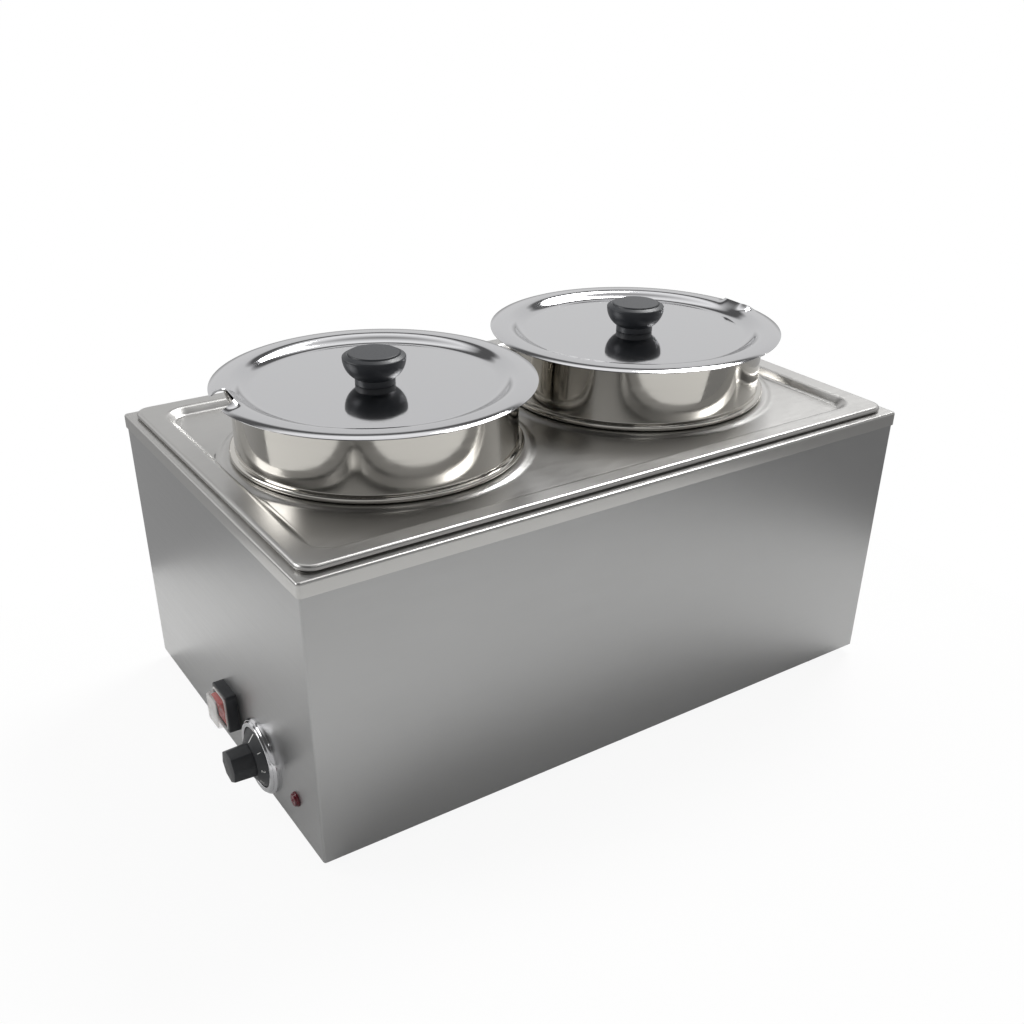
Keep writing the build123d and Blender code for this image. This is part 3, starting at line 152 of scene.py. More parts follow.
class SheetSizes(bpy.types.PropertyGroup):
    """Sizes of the casing, the pan and the adapter plate."""

    sheet: length("Sheet", 1.0, "Thickness of the casing, pan and plate sheet")
    case_corner: length("Casing corner", 2.0, "Bend radius of the casing's upright corners")
    case_bend: length("Casing bend", 1.2, "Bend radius along the casing's top and bottom")
    case_flange: length("Casing flange", 14.0, "Width of the casing's turned-in edges")
    bush_hole: length("Bush hole", 4.95, "Radius of the hole for the thermostat's bush")
    lamp_hole: length("Lamp hole", 4.45, "Radius of the hole for the lamp")
    lead_hole: length("Lead hole", 7.95, "Radius of the hole for the mains lead's bushing")
    switch_hole_width: length("Switch hole width", 22.0, "Width of the hole for the switch")
    switch_hole_height: length("Switch hole height", 28.0, "Height of the hole for the switch")
    skirt: length("Skirt", 11.0, "Height of the pan's edge that is turned down over the casing")
    collar_corner: length("Collar corner", 3.3, "Corner radius of the turned-down edge, seen from above")
    deck_bend: length("Deck bend", 2.0, "Bend radius along the top of the turned-down edge")
    tank_length: length("Tank length", 508.0, "Inside length of the water tank")
    tank_width: length("Tank width", 306.0, "Inside width of the water tank")
    tank_corner: length("Tank corner", 32.0, "Upright corner radius inside the tank")
    tank_roll: length("Tank roll", 2.0, "Radius from the deck down into the tank")
    floor_radius: length("Floor radius", 16.0, "Radius along the tank's floor")
    plate_corner: length("Plate corner", 13.0, "Corner radius of the adapter plate")
    plate_bend: length("Plate bend", 3.0, "Bend radius along the plate's edge")
    plate_tuck: length("Plate tuck", 2.0, "How far the foot of the plate's edge is turned under")
    plate_tuck_height: length("Plate tuck height", 1.6, "Height of the edge's turned-under part")
    plate_rim: length("Plate rim", 15.0, "Width of the flat border round the sunken field")
    field_depth: length("Field depth", 5.8, "How far the field lies under the plate's border")
    field_slope: length("Field slope", 10.0, "Width of the slope down into the field")
    field_corner: length("Field corner", 23.0, "Corner radius at the top of the slope")
    shoulder_rise: length("Shoulder rise", 2.0, "Height of the raised ring round each opening")
    shoulder_outer: length("Shoulder outer", 124.5, "Radius at the foot of the raised ring")
    shoulder_flat: length("Shoulder flat", 116.5, "Radius where the ring's top becomes flat")
    opening: length("Opening", 110.5, "Radius of each pot opening")
    opening_roll: length("Opening roll", 2.5, "Radius of the opening's rolled edge")


class PotSizes(bpy.types.PropertyGroup):
    """Sizes of the two pots."""

    sheet: length("Sheet", 0.8, "Thickness of the pots and lids")
    wall: length("Wall", 108.85, "Radius of the wall at the middle of its sheet")
    floor_radius: length("Floor radius", 18.0, "Radius between the pot's floor and wall")
    bead_ledge: length("Bead ledge", 2.6, "How far the bead's flat seat reaches")
    bead_height: length("Bead height", 4.4, "Height of the rolled bead")
    bead_fillet: length("Bead fillet", 0.9, "Radius between the wall and the bead")
    curl: length("Curl", 3.2, "Width of the curled rim")
    curl_turn: angle("Curl turn", 245.0, "How far round the rim is curled")


class LidSizes(bpy.types.PropertyGroup):
    """Sizes of the two lids and their knobs."""

    radius: length("Radius", 123.7, "Radius of the lid's lip")
    drop: length("Drop", 5.6, "Depth of the disc below the crest")
    disc: length("Disc", 93.0, "Radius of the flat disc")
    hole: length("Hole", 3.05, "Radius of the screw hole in the disc")
    crest: length("Crest", 14.0, "Radius of the curve over the pot's rim")
    flange_end: length("Flange end", 117.5, "Radius where the flange turns down into the lip")
    flange_fall: length("Flange fall", 0.3, "Fall of the flange from the crest")
    lip_fall: length("Lip fall", 1.9, "Fall of the lip's edge from the crest")
    notch_width: length("Notch width", 32.0, "Width of the ladle notch")
    notch_end: length("Notch end", 111.0, "Distance of the notch's inner end from the lid's middle")
    notch_corner: length("Notch corner", 8.0, "Radius of the notch's inner corners")
    border: length("Border", 4.2, "Height of the notch's turned-up border")
    border_foot: length("Border foot", 8.0, "Width over which the sheet swells up into the border")
    border_end: length("Border end", 12.7, "Distance from the lip over which the border dies away")
    border_tuck: length("Border tuck", 0.6, "How far the border's foot runs on over the sheet")
    border_sink: length("Border sink", 0.05, "How far the border's foot sinks into the sheet")
    turn_left: angle("Turn left", -5.5, "How far the left lid is turned round on its pot")
    turn_right: angle("Turn right", -2.5, "How far the right lid is turned round on its pot")
    knob_neck: length("Knob neck", 15.4, "Radius of the knob's neck")
    knob_neck_top: length("Knob neck top", 4.8, "Height of the knob's neck")
    knob_bowl: angle("Knob bowl", 29.7, "Slope with which the knob's bowl leaves its neck")
    knob_head: length("Knob head", 24.2, "Radius of the knob's head at its widest")
    knob_widest: length("Knob widest", 20.2, "Height of the knob's head at its widest")
    knob_disc: length("Knob disc", 19.5, "Radius of the raised disc on the knob")
    knob_disc_rise: length("Knob disc rise", 1.0, "Height of the raised disc on the knob")
    knob_groove: length("Knob groove", 1.2, "Width of the groove round the raised disc")
    knob_screw: length("Knob screw", 16.0, "Depth of the knob's screw hole")


class ControlSizes(bpy.types.PropertyGroup):
    """Sizes of the switch, the thermostat dial and the lamp."""

    frame_width: length("Frame width", 30.0, "Width of the switch frame")
    frame_height: length("Frame height", 34.0, "Height of the switch frame")
    frame_reach: length("Frame reach", 9.0, "How far the switch frame stands out of the wall")
    frame_corner: length("Frame corner", 3.0, "Corner radius of the switch frame")
    frame_border: length("Frame border", 3.0, "Width of the frame's border round the boot")
    boot_reach: length("Boot reach", 16.5, "How far the splash boot stands out of the wall")
    boot_sheet: length("Boot sheet", 0.8, "Thickness of the splash boot")
    boot_inset: length("Boot inset", 1.5, "How far the boot's flange lies inside the frame's outline")
    boot_foot: length("Boot foot", 3.4, "How far the boot's wall stands inside the frame's outline")
    boot_corner: length("Boot corner", 6.0, "Corner radius of the boot's flange")
    rocker_width: length("Rocker width", 18.6, "Width of the rocker")
    rocker_half: length("Rocker half", 11.3, "Half of the rocker's height")
    rocker_face: length("Rocker face", 9.0, "Distance of the rocker's face from its pins")
    rocker_hollow: length("Rocker hollow", 1.4, "Depth of the hollow in the rocker's face")
    rocker_foot: length("Rocker foot", 4.0, "Half of the height of the rocker's foot")
    rocker_depth: length("Rocker depth", 5.0, "Distance of the rocker's foot from its pins")
    rocker_tilt: angle("Rocker tilt", 11.0, "How far the rocker leans at rest")
    pivot_reach: length("Pivot reach", 2.0, "Distance of the rocker's pins from the wall")
    bezel_radius: length("Bezel radius", 30.5, "Outer radius of the bright ring")
    bezel_bore: length("Bezel bore", 24.2, "Inner radius of the bright ring")
    bezel_reach: length("Bezel reach", 6.0, "How far the bright ring stands out of the wall")
    skirt_radius: length("Skirt radius", 23.6, "Radius of the knob's dial skirt")
    skirt_back: length("Skirt back", 2.6, "Distance of the skirt's back from the wall")
    skirt_front: length("Skirt front", 5.2, "Distance of the skirt's rim from the wall")
    cone_radius: length("Cone radius", 15.0, "Radius of the skirt's cone where the grip begins")
    cone_reach: length("Cone reach", 10.8, "Distance of the cone's top from the wall")
    grip_radius: length("Grip radius", 14.2, "Radius over the corners of the eight-sided grip")
    grip_end: length("Grip end", 13.2, "The same radius at the grip's outer end")
    grip_reach: length("Grip reach", 28.0, "How far the grip stands out of the wall")
    grip_turn: angle("Grip turn", 10.0, "How far the grip's flats are turned on the skirt")
    index_length: length("Index length", 7.6, "Length of the printed index line")
    index_width: length("Index width", 1.0, "Width of the printed index line")
    number_height: length("Number height", 5.0, "Height of the printed numbers")
    number_step: angle("Number step", 45.0, "Turn from one printed number to the next")
    ink: length("Ink", 0.08, "Thickness of the print")
    lens_flange: length("Lens flange", 5.8, "Radius of the lamp's flange")
    lens_radius: length("Lens radius", 5.0, "Radius of the lamp's lens")
    lens_reach: length("Lens reach", 3.8, "How far the lens stands out of the wall")


class Finishes(bpy.types.PropertyGroup):
    """Colours of the surfaces."""

    casing: colour("Casing", "AFAFAF", "Brushed stainless steel of the casing")
    plate: colour("Plate", "BCBBB9", "Cold-rolled stainless steel of the pan and plate")
    polish: colour("Polish", "C8C5BF", "Polished stainless steel of the pots")
    lid: colour("Lid", "C6C6C8", "Stainless steel of the lids")
    phenolic: colour("Phenolic", "23262B", "Black phenolic of the lid knobs")
    plastic: colour("Plastic", "25272A", "Black moulded plastic of the dial and switch")
    rocker: colour("Rocker", "DC3327", "Red moulded plastic of the rocker")
    boot: colour("Boot", "ECECEA", "Cloudy clear vinyl of the splash boot")
    chrome: colour("Chrome", "D4D4D6", "Chromium plate of the bezel")
    lens: colour("Lens", "6E0F22", "Red acrylic of the lamp's lens")
    ink: colour("Ink", "E9E9E6", "White printed marks on the dial")
    floor: colour("Floor", "F4F4F3", "Pale studio floor")


# Drawing lines and shaping sheets


def trace_line(start, heading, moves):
    """Returns the points of a line that starts with a heading.

    Each move is (end, steps). One step is straight. More steps are an arc that goes on smoothly from what
    comes before it, or from a heading given as a third entry.
    """
    points = [Vector(start)]
    heading = Vector(heading)
    for end, steps, *fresh in moves:
        heading = Vector(fresh[0]) if fresh else heading
        near = points[-1]
        chord = Vector(end) - near
        if steps == 1:
            points.append(Vector(end))
            heading = chord.normalized()
            continue
        side = Vector((-heading.y, heading.x))
        centre = near + side * (chord.length_squared / (2 * chord.dot(side)))
        sweep = 2 * atan2(chord.dot(side), chord.dot(heading))
        for step in range(1, steps + 1):
            points.append(centre + Matrix.Rotation(sweep * step / steps, 2) @ (near - centre))
        heading = Matrix.Rotation(sweep, 2) @ heading
    return points


def add_square(size, place):
    """Adds a flat square to the mesh being edited, or starts a new mesh with it."""
    fresh = bpy.context.mode == "OBJECT"
    if fresh:
        bpy.ops.object.select_all(action="DESELECT")
    bpy.ops.mesh.primitive_plane_add(size=size, location=place)
    if fresh:
        bpy.ops.object.transform_apply(location=True, rotation=True, scale=True)
        bpy.ops.object.mode_set(mode="EDIT")


def leave_outward():
    """Points all faces outwards, leaves edit mode and returns the piece."""
    bpy.ops.mesh.select_all(action="SELECT")
    bpy.ops.mesh.normals_make_consistent(inside=False)
    bpy.ops.object.mode_set(mode="OBJECT")
    return bpy.context.object


def draw_chain(places):
    """Draws a line by extruding a vertex from place to place, in the mesh being edited or a new one."""
    add_square(MM, (0, 0, 0))
    bpy.ops.mesh.select_mode(type="VERT")
    bpy.ops.mesh.merge(type="CENTER")
    bpy.ops.transform.translate(value=places[0])
    for near, far in zip(places, places[1:]):
        bpy.ops.mesh.extrude_vertices_move(TRANSFORM_OT_translate={"value": far - near})


def spin_line(points, centre, steps=SPIN_STEPS):
    """Makes a turned shell: points are (radius, height), spun round an upright axis through centre."""
    draw_chain([centre + Vector((point.x, 0, point.y)) for point in points])
    bpy.ops.mesh.select_all(action="SELECT")
    bpy.ops.mesh.spin(steps=steps, angle=2 * pi, center=centre, axis=(0, 0, 1))
    bpy.ops.mesh.select_all(action="SELECT")
    bpy.ops.mesh.remove_doubles(threshold=FINE)
    return leave_outward()


def pick(kind, test):
    """Selects only those verts, edges or faces of the mesh being edited that pass the test."""
    bpy.ops.mesh.select_mode(type={"verts": "VERT", "edges": "EDGE", "faces": "FACE"}[kind])
    bpy.ops.mesh.select_all(action="DESELECT")
    mesh = bmesh.from_edit_mesh(bpy.context.object.data)
    chosen = [element for element in getattr(mesh, kind) if test(element)]
    if not chosen:
        raise RuntimeError(f"no {kind} to select on {bpy.context.object.name}")
    for element in chosen:
        element.select_set(True)
    mesh.select_flush_mode()
    bmesh.update_edit_mesh(bpy.context.object.data)


def at_height(element, height):
    """Whether every vertex of an edge or face lies at a height."""
    return all(abs(vertex.co.z - height) < 10 * FINE for vertex in element.verts)


def lies_flat(face):
    """Whether a face is level."""
    return at_height(face, face.verts[0].co.z)


def lay_sheet(centre, long_side, short_side, radius, steps=CORNER_STEPS):
    """Lays a flat rectangle with round corners and leaves it selected."""
    add_square(1.0, centre)
    bpy.ops.transform.resize(value=(long_side, short_side, 1.0), center_override=centre)
    bpy.ops.mesh.bevel(offset=radius, offset_type="OFFSET", segments=steps, profile=0.5, affect="VERTICES")


def press(points):
    """Presses the selected face along a line of points: (distance in from the edge, height)."""
    for near, far in zip(points, points[1:]):
        inset, rise = far - near
        if inset < FINE:
            bpy.ops.mesh.extrude_region_move(TRANSFORM_OT_translate={"value": (0, 0, rise)})
        else:
            bpy.ops.mesh.inset(thickness=inset, depth=rise, use_even_offset=True)


def drop_face(height):
    """Takes out the flat face at a height and leaves its edge."""
    pick("faces", lambda face: at_height(face, height))
    bpy.ops.mesh.delete(type="ONLY_FACE")


def pick_open(*heights):
    """Selects the open edges that lie at one of the heights."""

    def is_open(edge):
        return len(edge.link_faces) < 2 and any(at_height(edge, height) for height in heights)

    pick("edges", is_open)


def bridge_at(*heights):
    """Joins the two open outlines that lie at one height or at two."""
    pick_open(*heights)
    bpy.ops.mesh.bridge_edge_loops()


def fill_flat(height):
    """Fills the flat between the open outlines at a height, and keeps the holes among them."""
    pick_open(height)
    bpy.ops.mesh.fill(use_beauty=True)
    bpy.ops.mesh.dissolve_limited(angle_limit=LEVEL_ANGLE)


def face_up(height):
    """Makes all faces point the same way, with the flat faces at a height facing up."""
    bpy.ops.mesh.select_all(action="SELECT")
    bpy.ops.mesh.remove_doubles(threshold=FINE)
    bpy.ops.mesh.normals_make_consistent(inside=False)
    mesh = bmesh.from_edit_mesh(bpy.context.object.data)
    flat = next(face for face in mesh.faces if at_height(face, height))
    if flat.normal.z < 0:
        bpy.ops.mesh.flip_normals()


def apply_modifier(piece, kind, **settings):
    """Adds a modifier with its settings and applies it."""
    modifier = piece.modifiers.new(kind.title(), kind)
    for name, value in settings.items():
        setattr(modifier, name, value)
    bpy.ops.object.select_all(action="DESELECT")
    piece.select_set(True)
    bpy.context.view_layer.objects.active = piece
    bpy.ops.object.modifier_apply(modifier=modifier.name)


def thicken(piece, sheet, offset):
    """Gives a shell its sheet thickness. Offset 0 spreads it to both sides, -1 puts it behind the faces."""
    apply_modifier(piece, "SOLIDIFY", thickness=sheet, offset=offset, use_even_offset=True)


def combine(piece, tool, operation):
    """Cuts a piece by a closed tool or unites the two, then deletes the tool."""
    apply_modifier(piece, "BOOLEAN", object=tool, operation=operation, solver="EXACT")
    bpy.data.objects.remove(tool)


def join(*pieces):
    """Joins pieces into the first one's mesh."""
    bpy.ops.object.select_all(action="DESELECT")
    for piece in pieces:
        piece.select_set(True)
    bpy.context.view_layer.objects.active = pieces[0]
    bpy.ops.object.join()
    return pieces[0]


def mount(piece, place):
    """Turns a piece that was made with +Z outwards onto the control wall, at a (y, z) place."""
    bpy.ops.object.select_all(action="DESELECT")
    piece.select_set(True)
    bpy.context.view_layer.objects.active = piece
    piece.rotation_euler = (pi / 2, 0, -pi / 2)
    piece.location = (WALL_X, *place)
    bpy.ops.object.transform_apply(location=True, rotation=True, scale=True)


def wall_place(node):
    """The (y, z) middle of a node on the control wall."""
    low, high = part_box(node)
    middle = (low + high) / 2
    return middle.y, middle.z


def finish_piece(piece, name, material, body, slot, *nodes):
    """Smooths, names and paints a piece, ties it to its body and hides the nodes it stands for. The slot is
    not used.
    """
    bpy.ops.object.select_all(action="DESELECT")
    piece.select_set(True)
    bpy.context.view_layer.objects.active = piece
    bpy.ops.object.shade_smooth_by_angle(angle=SMOOTH_ANGLE)
    piece.name = name
    piece.data.name = name
    piece.data.materials.clear()
    piece.data.materials.append(material)
    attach(piece, body)
    if nodes:
        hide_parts(*nodes)


def pot_axis(side):
    """The foot of a pot's axis on the table."""
    low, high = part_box(f"pot_{side}")
    return Vector(((low.x + high.x) / 2, (low.y + high.y) / 2, 0))


# Materials


def add_node(tree, kind, settings=None, links=None):
    """Adds a node. Settings fill its attributes or sockets by name, links feed its sockets."""
    node = tree.nodes.new(kind)
    for name, value in (settings or {}).items():
        if isinstance(name, int) or name in node.inputs:
            node.inputs[name].default_value = value
        else:
            setattr(node, name, value)
    for name, output in (links or {}).items():
        tree.links.new(output, node.inputs[name])
    return node


def start_material(name, base, **values):
    """Starts a material: its colour and the shader values that are the same all over it."""
    material = bpy.data.materials.get(name)
    if material:
        return material, None, None
    material = bpy.data.materials.new(name)
    material.use_nodes = True
    shader = material.node_tree.nodes["Principled BSDF"]
    shader.inputs["Base Color"].default_value = (*base, 1.0)
    for socket, value in values.items():
        shader.inputs[socket.replace("_", " ").title().replace("Ior", "IOR")].default_value = value
    return material, material.node_tree, shader


def add_grain(tree, shader, grain, roughness, relief, detail=3.0):
    """Breaks up gloss and relief with a noise whose grains have a size in millimetres along X, Y and Z."""
    place = add_node(tree, "ShaderNodeTexCoord")
    stretch = add_node(
        tree,
        "ShaderNodeMapping",
        {"Scale": [1 / (size * MM) for size in grain]},
        {"Vector": place.outputs["Object"]},
    )
    noise = add_node(
        tree,
        "ShaderNodeTexNoise",
        {"Scale": 1.0, "Detail": detail, "Roughness": 0.55},
        {"Vector": stretch.outputs["Vector"]},
    )
    spread = add_node(
        tree,
        "ShaderNodeMapRange",
        {"From Min": 0.3, "From Max": 0.7, "To Min": roughness[0], "To Max": roughness[1]},
        {"Value": noise.outputs["Fac"]},
    )
    tree.links.new(spread.outputs["Result"], shader.inputs["Roughness"])
    bump = add_node(
        tree,
        "ShaderNodeBump",
        {"Strength": 1.0, "Distance": relief * MM},
        {"Height": noise.outputs["Fac"]},
    )
    tree.links.new(bump.outputs["Normal"], shader.inputs["Normal"])
    return noise


def brushed_stainless():
    """Stainless sheet ground along its length: fine level scratches that smear reflections upright."""
    colours = bpy.context.scene.warmer_finishes
    material, tree, shader = start_material(
        "brushed_stainless", colours.casing, metallic=1.0, anisotropic=0.55, anisotropic_rotation=0.25
    )
    if tree:
        # The real scratches are about 0.1 mm apart; they are drawn 0.7 mm apart so that they show
        add_grain(tree, shader, (60, 60, 0.7), (0.28, 0.36), 0.003)
        tangent = add_node(tree, "ShaderNodeTangent", {"direction_type": "RADIAL", "axis": "Z"})
        tree.links.new(tangent.outputs["Tangent"], shader.inputs["Tangent"])
    return material


def start_rolled(name):
    """Starts stainless sheet with the even, soft gloss of cold rolling."""
    material, tree, shader = start_material(name, bpy.context.scene.warmer_finishes.plate, metallic=1.0)
    if tree:
        add_grain(tree, shader, (14, 3, 6), (0.28, 0.33), 0.001)
    return material, tree, shader


def rolled_stainless():
    """Cold-rolled and pressed stainless sheet: a smooth grey gleam with soft reflections."""
    material, _, _ = start_rolled("rolled_stainless")
    return material


def drawn_stainless():
    """Deep-drawn stainless: bright sheet on the deck, dull soft grey on the tank's stretched walls."""
    material, tree, shader = start_rolled("drawn_stainless")
    if tree:
        stretched = DECK_Z - bpy.context.scene.warmer_sheets.skirt
        fade, dullest = 10 * MM, 0.6
        sheet = shader.inputs["Roughness"].links[0].from_socket
        place = add_node(tree, "ShaderNodeTexCoord")
        axes = add_node(tree, "ShaderNodeSeparateXYZ", links={"Vector": place.outputs["Object"]})
        dull = add_node(
            tree,
            "ShaderNodeMapRange",
            {"From Min": stretched - fade, "From Max": stretched, "To Min": dullest, "To Max": 0.0},
            {"Value": axes.outputs["Z"]},
        )
        rougher = add_node(
            tree, "ShaderNodeMath", {"operation": "MAXIMUM"}, {0: sheet, 1: dull.outputs["Result"]}
        )
        tree.links.new(rougher.outputs["Value"], shader.inputs["Roughness"])
    return material


def polished_stainless():
    """Buffed stainless: a mirror with a faint warm cast and a trace of buffing haze."""
    material, tree, shader = start_material(
        "polished_stainless", bpy.context.scene.warmer_finishes.polish, metallic=1.0
    )
    if tree:
        add_grain(tree, shader, (40, 40, 5), (0.06, 0.11), 0.004, detail=1.0)
    return material


def lid_stainless(side):
    """Mirror-polished stainless lid with the faintest rings left by the buffing wheel."""
    material, tree, shader = start_material(
        f"spun_stainless_{side}", bpy.context.scene.warmer_finishes.lid, metallic=1.0
    )
    if tree:
        place = add_node(tree, "ShaderNodeTexCoord")
        centre = add_node(
            tree,
            "ShaderNodeMapping",
            {"Location": -pot_axis(side)},
            {"Vector": place.outputs["Object"]},
        )
        axes = add_node(tree, "ShaderNodeSeparateXYZ", links={"Vector": centre.outputs["Vector"]})
        flat = add_node(
            tree, "ShaderNodeCombineXYZ", links={"X": axes.outputs["X"], "Y": axes.outputs["Y"]}
        )
        radius = add_node(
            tree, "ShaderNodeVectorMath", {"operation": "LENGTH"}, {0: flat.outputs["Vector"]}
        )
        # Polishing rings about 1.2 mm apart
        rings = add_node(
            tree,
            "ShaderNodeTexNoise",
            {"noise_dimensions": "1D", "Scale": 1 / (1.2 * MM), "Detail": 2.0},
            {"W": radius.outputs["Value"]},
        )
        polish = add_node(
            tree,
            "ShaderNodeMapRange",
            {"From Min": 0.3, "From Max": 0.7, "To Min": 0.06, "To Max": 0.09},
            {"Value": rings.outputs["Fac"]},
        )
        tree.links.new(polish.outputs["Result"], shader.inputs["Roughness"])
    return material


def grained_material(name, base, grain, roughness, relief, **values):
    """A material with an even fine grain in its gloss and relief."""
    material, tree, shader = start_material(name, base, **values)
    if tree:
        add_grain(tree, shader, (grain, grain, grain), roughness, relief)
    return material


def black_phenolic():
    """Moulded phenolic: deep black with a soft gloss and a faint mould texture."""
    return grained_material(
        "black_phenolic", bpy.context.scene.warmer_finishes.phenolic, 1.5, (0.36, 0.46), 0.01, ior=1.55
    )


def black_plastic():
    """Moulded ABS: charcoal with a fine satin mould grain."""
    return grained_material(
        "black_abs", bpy.context.scene.warmer_finishes.plastic, 0.8, (0.3, 0.42), 0.012, ior=1.5
    )


def red_rocker():
    """Moulded red polycarbonate: glossy, with light carried under its surface."""
    return grained_material(
        "red_polycarbonate",
        bpy.context.scene.warmer_finishes.rocker,
        2.0,
        (0.2, 0.28),
        0.004,
        ior=1.58,
        subsurface_weight=0.2,
        subsurface_scale=1.5 * MM,
    )


def clear_vinyl():
    """Soft clear PVC: see-through at its sides, clouded white on the face that fingers press."""
    material, tree, shader = start_material(
        "cloudy_clear_pvc", bpy.context.scene.warmer_finishes.boot, ior=1.45
    )
    if tree:
        add_grain(tree, shader, (3, 3, 3), (0.16, 0.3), 0.02)
        surface = add_node(tree, "ShaderNodeNewGeometry")
        axes = add_node(tree, "ShaderNodeSeparateXYZ", links={"Vector": surface.outputs["Normal"]})
        outward = add_node(tree, "ShaderNodeMath", {"operation": "ABSOLUTE"}, {0: axes.outputs["X"]})
        cloud = add_node(
            tree,
            "ShaderNodeMapRange",
            {"From Min": 0.5, "From Max": 0.95, "To Min": 0.12, "To Max": 0.62},
            {"Value": outward.outputs["Value"]},
        )
        tree.links.new(cloud.outputs["Result"], shader.inputs["Alpha"])
    return material


def chrome_plate():
    """Chromium plate over pressed steel: a bright neutral mirror."""
    return grained_material(
        "chromium_plate", bpy.context.scene.warmer_finishes.chrome, 6.0, (0.08, 0.16), 0.003, metallic=1.0
    )


def red_lens():
    """Moulded red acrylic: dark, wet-looking and partly see-through."""
    return grained_material(
        "red_acrylic",
        bpy.context.scene.warmer_finishes.lens,
        1.5,
        (0.06, 0.14),
        0.01,
        ior=1.49,
        transmission_weight=0.35,
    )


def white_ink():
    """Pad-printed white ink: matt and slightly uneven."""
    return grained_material(
        "white_ink", bpy.context.scene.warmer_finishes.ink, 0.6, (0.5, 0.65), 0.004
    )


def zinc_plate():
    """Zinc-plated steel screws and nuts: dull bright metal with a cloudy sheen."""
    return grained_material("zinc_plate", linear("B4B8BA"), 1.6, (0.26, 0.4), 0.006, metallic=1.0)


def nitrile_rubber():
    """Moulded rubber feet: near-black and matt."""
    return grained_material("nitrile_rubber", linear("1F1F1F"), 1.2, (0.65, 0.8), 0.02)


def element_sheath():
    """Annealed alloy tube of the heating element: grey-green and dull from heat."""
    return grained_material("annealed_alloy", linear("6C6B64"), 5.0, (0.38, 0.52), 0.008, metallic=1.0)


def bulb_copper():
    """Drawn copper of the sensing bulb: warm, with a light tarnish."""
    return grained_material("drawn_copper", linear("B5714F"), 3.0, (0.24, 0.38), 0.004, metallic=1.0)


def pale_nylon():
    """Moulded pale nylon of the terminal block and cut-out: matt cream."""
    return grained_material("pale_nylon", linear("D8D2C2"), 1.0, (0.45, 0.6), 0.01)


# Operators that build the pieces


class WARMER_OT_casing(bpy.types.Operator):
    """Fold the casing: four walls with turned-in edges, and cut-outs for the controls and the mains lead"""

    bl_idname = "warmer.casing"
    bl_label = "Casing"

    def execute(self, context):
        sizes = context.scene.warmer_sheets
        low, high = CASE_LOW.z, CASE_HIGH.z
        outline = CASE_HIGH - CASE_LOW
        inner = outline - 2 * sizes.case_flange * Vector((1, 1, 0))
        lay_sheet(Vector((CASE_X, 0, low)), outline.x, outline.y, sizes.case_corner)
        press([Vector((0, low)), Vector((0, high))])
        pick("edges", lambda edge: {lies_flat(face) for face in edge.link_faces} == {True, False})
        bpy.ops.mesh.bevel(offset=sizes.case_bend, segments=4, profile=0.5, affect="EDGES")
        for height in (low, high):
            drop_face(height)
            lay_sheet(Vector((CASE_X, 0, height)), inner.x, inner.y, sizes.case_corner)
            drop_face(height)
            fill_flat(height)
        casing = leave_outward()
        thicken(casing, sizes.sheet, -1)
        self.cut_openings(sizes, casing)
        panels = ("casing_front", "casing_rear", "casing_control_end", "casing_plain_end")
        finish_piece(casing, "folded_casing", brushed_stainless(), "base", "satin_steel", *panels)
        return {"FINISHED"}

    def cut_openings(self, sizes, casing):
        """Cuts the holes for the thermostat's bush, the lamp, the mains lead and the switch."""
        low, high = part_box("cord_bushing")
        bushing = (low + high) / 2
        on_wall, on_rear = (0, pi / 2, 0), (pi / 2, 0, 0)
        holes = (
            ((WALL_X, *wall_place("dial_bezel")), on_wall, sizes.bush_hole),
            ((WALL_X, *wall_place("indicator_lens")), on_wall, sizes.lamp_hole),
            ((bushing.x, CASE_HIGH.y, bushing.z), on_rear, sizes.lead_hole),
        )
        for place, turn, radius in holes:
            bpy.ops.object.select_all(action="DESELECT")
            bpy.ops.mesh.primitive_cylinder_add(
                vertices=SMALL_STEPS, radius=radius, depth=CUT_DEPTH, location=place, rotation=turn
            )
            combine(casing, bpy.context.object, "DIFFERENCE")
        bpy.ops.object.select_all(action="DESELECT")
        bpy.ops.mesh.primitive_cube_add(
            size=1,
            location=(WALL_X, *wall_place("switch_frame")),
            scale=(CUT_DEPTH, sizes.switch_hole_width, sizes.switch_hole_height),
        )
        combine(casing, bpy.context.object, "DIFFERENCE")


class WARMER_OT_water_pan(bpy.types.Operator):
    """Press the water pan: turned-down skirt, deck and tank"""

    bl_idname = "warmer.water_pan"
    bl_label = "Water pan"

    def execute(self, context):
        sizes = context.scene.warmer_sheets
        foot = DECK_Z - sizes.skirt
        collar = PAN_HIGH - PAN_LOW
        lay_sheet(Vector((CASE_X, 0, foot)), collar.x, collar.y, sizes.collar_corner)
        press(
            trace_line(
                (0, foot),
                (0, 1),
                [
                    ((0, DECK_Z - sizes.deck_bend), 1),
                    ((sizes.deck_bend, DECK_Z), 6),
                    ((sizes.deck_bend + FLAT_RUN, DECK_Z), 1),
                ],
            )
        )
        bpy.ops.mesh.delete(type="ONLY_FACE")
        drop_face(foot)
        roll = sizes.tank_roll
        margin = roll + FLAT_RUN
        lay_sheet(
            Vector((CASE_X, 0, DECK_Z)),
            sizes.tank_length + 2 * margin,
            sizes.tank_width + 2 * margin,
            sizes.tank_corner + margin,
        )
        floor = PAN_LOW.z + sizes.sheet
        press(
            trace_line(
                (-FLAT_RUN, DECK_Z),
                (1, 0),
                [
                    ((0, DECK_Z), 1),
                    ((roll, DECK_Z - roll), 5),
                    ((roll, floor + sizes.floor_radius), 1),
                    ((roll + sizes.floor_radius, floor), 8),
                ],
            )
        )
        bridge_at(DECK_Z)
        face_up(floor)
        bpy.ops.object.mode_set(mode="OBJECT")
        pan = context.object
        thicken(pan, sizes.sheet, -1)
        finish_piece(pan, "pressed_water_pan", drawn_stainless(), "base", "pan_steel", "water_pan")
        return {"FINISHED"}


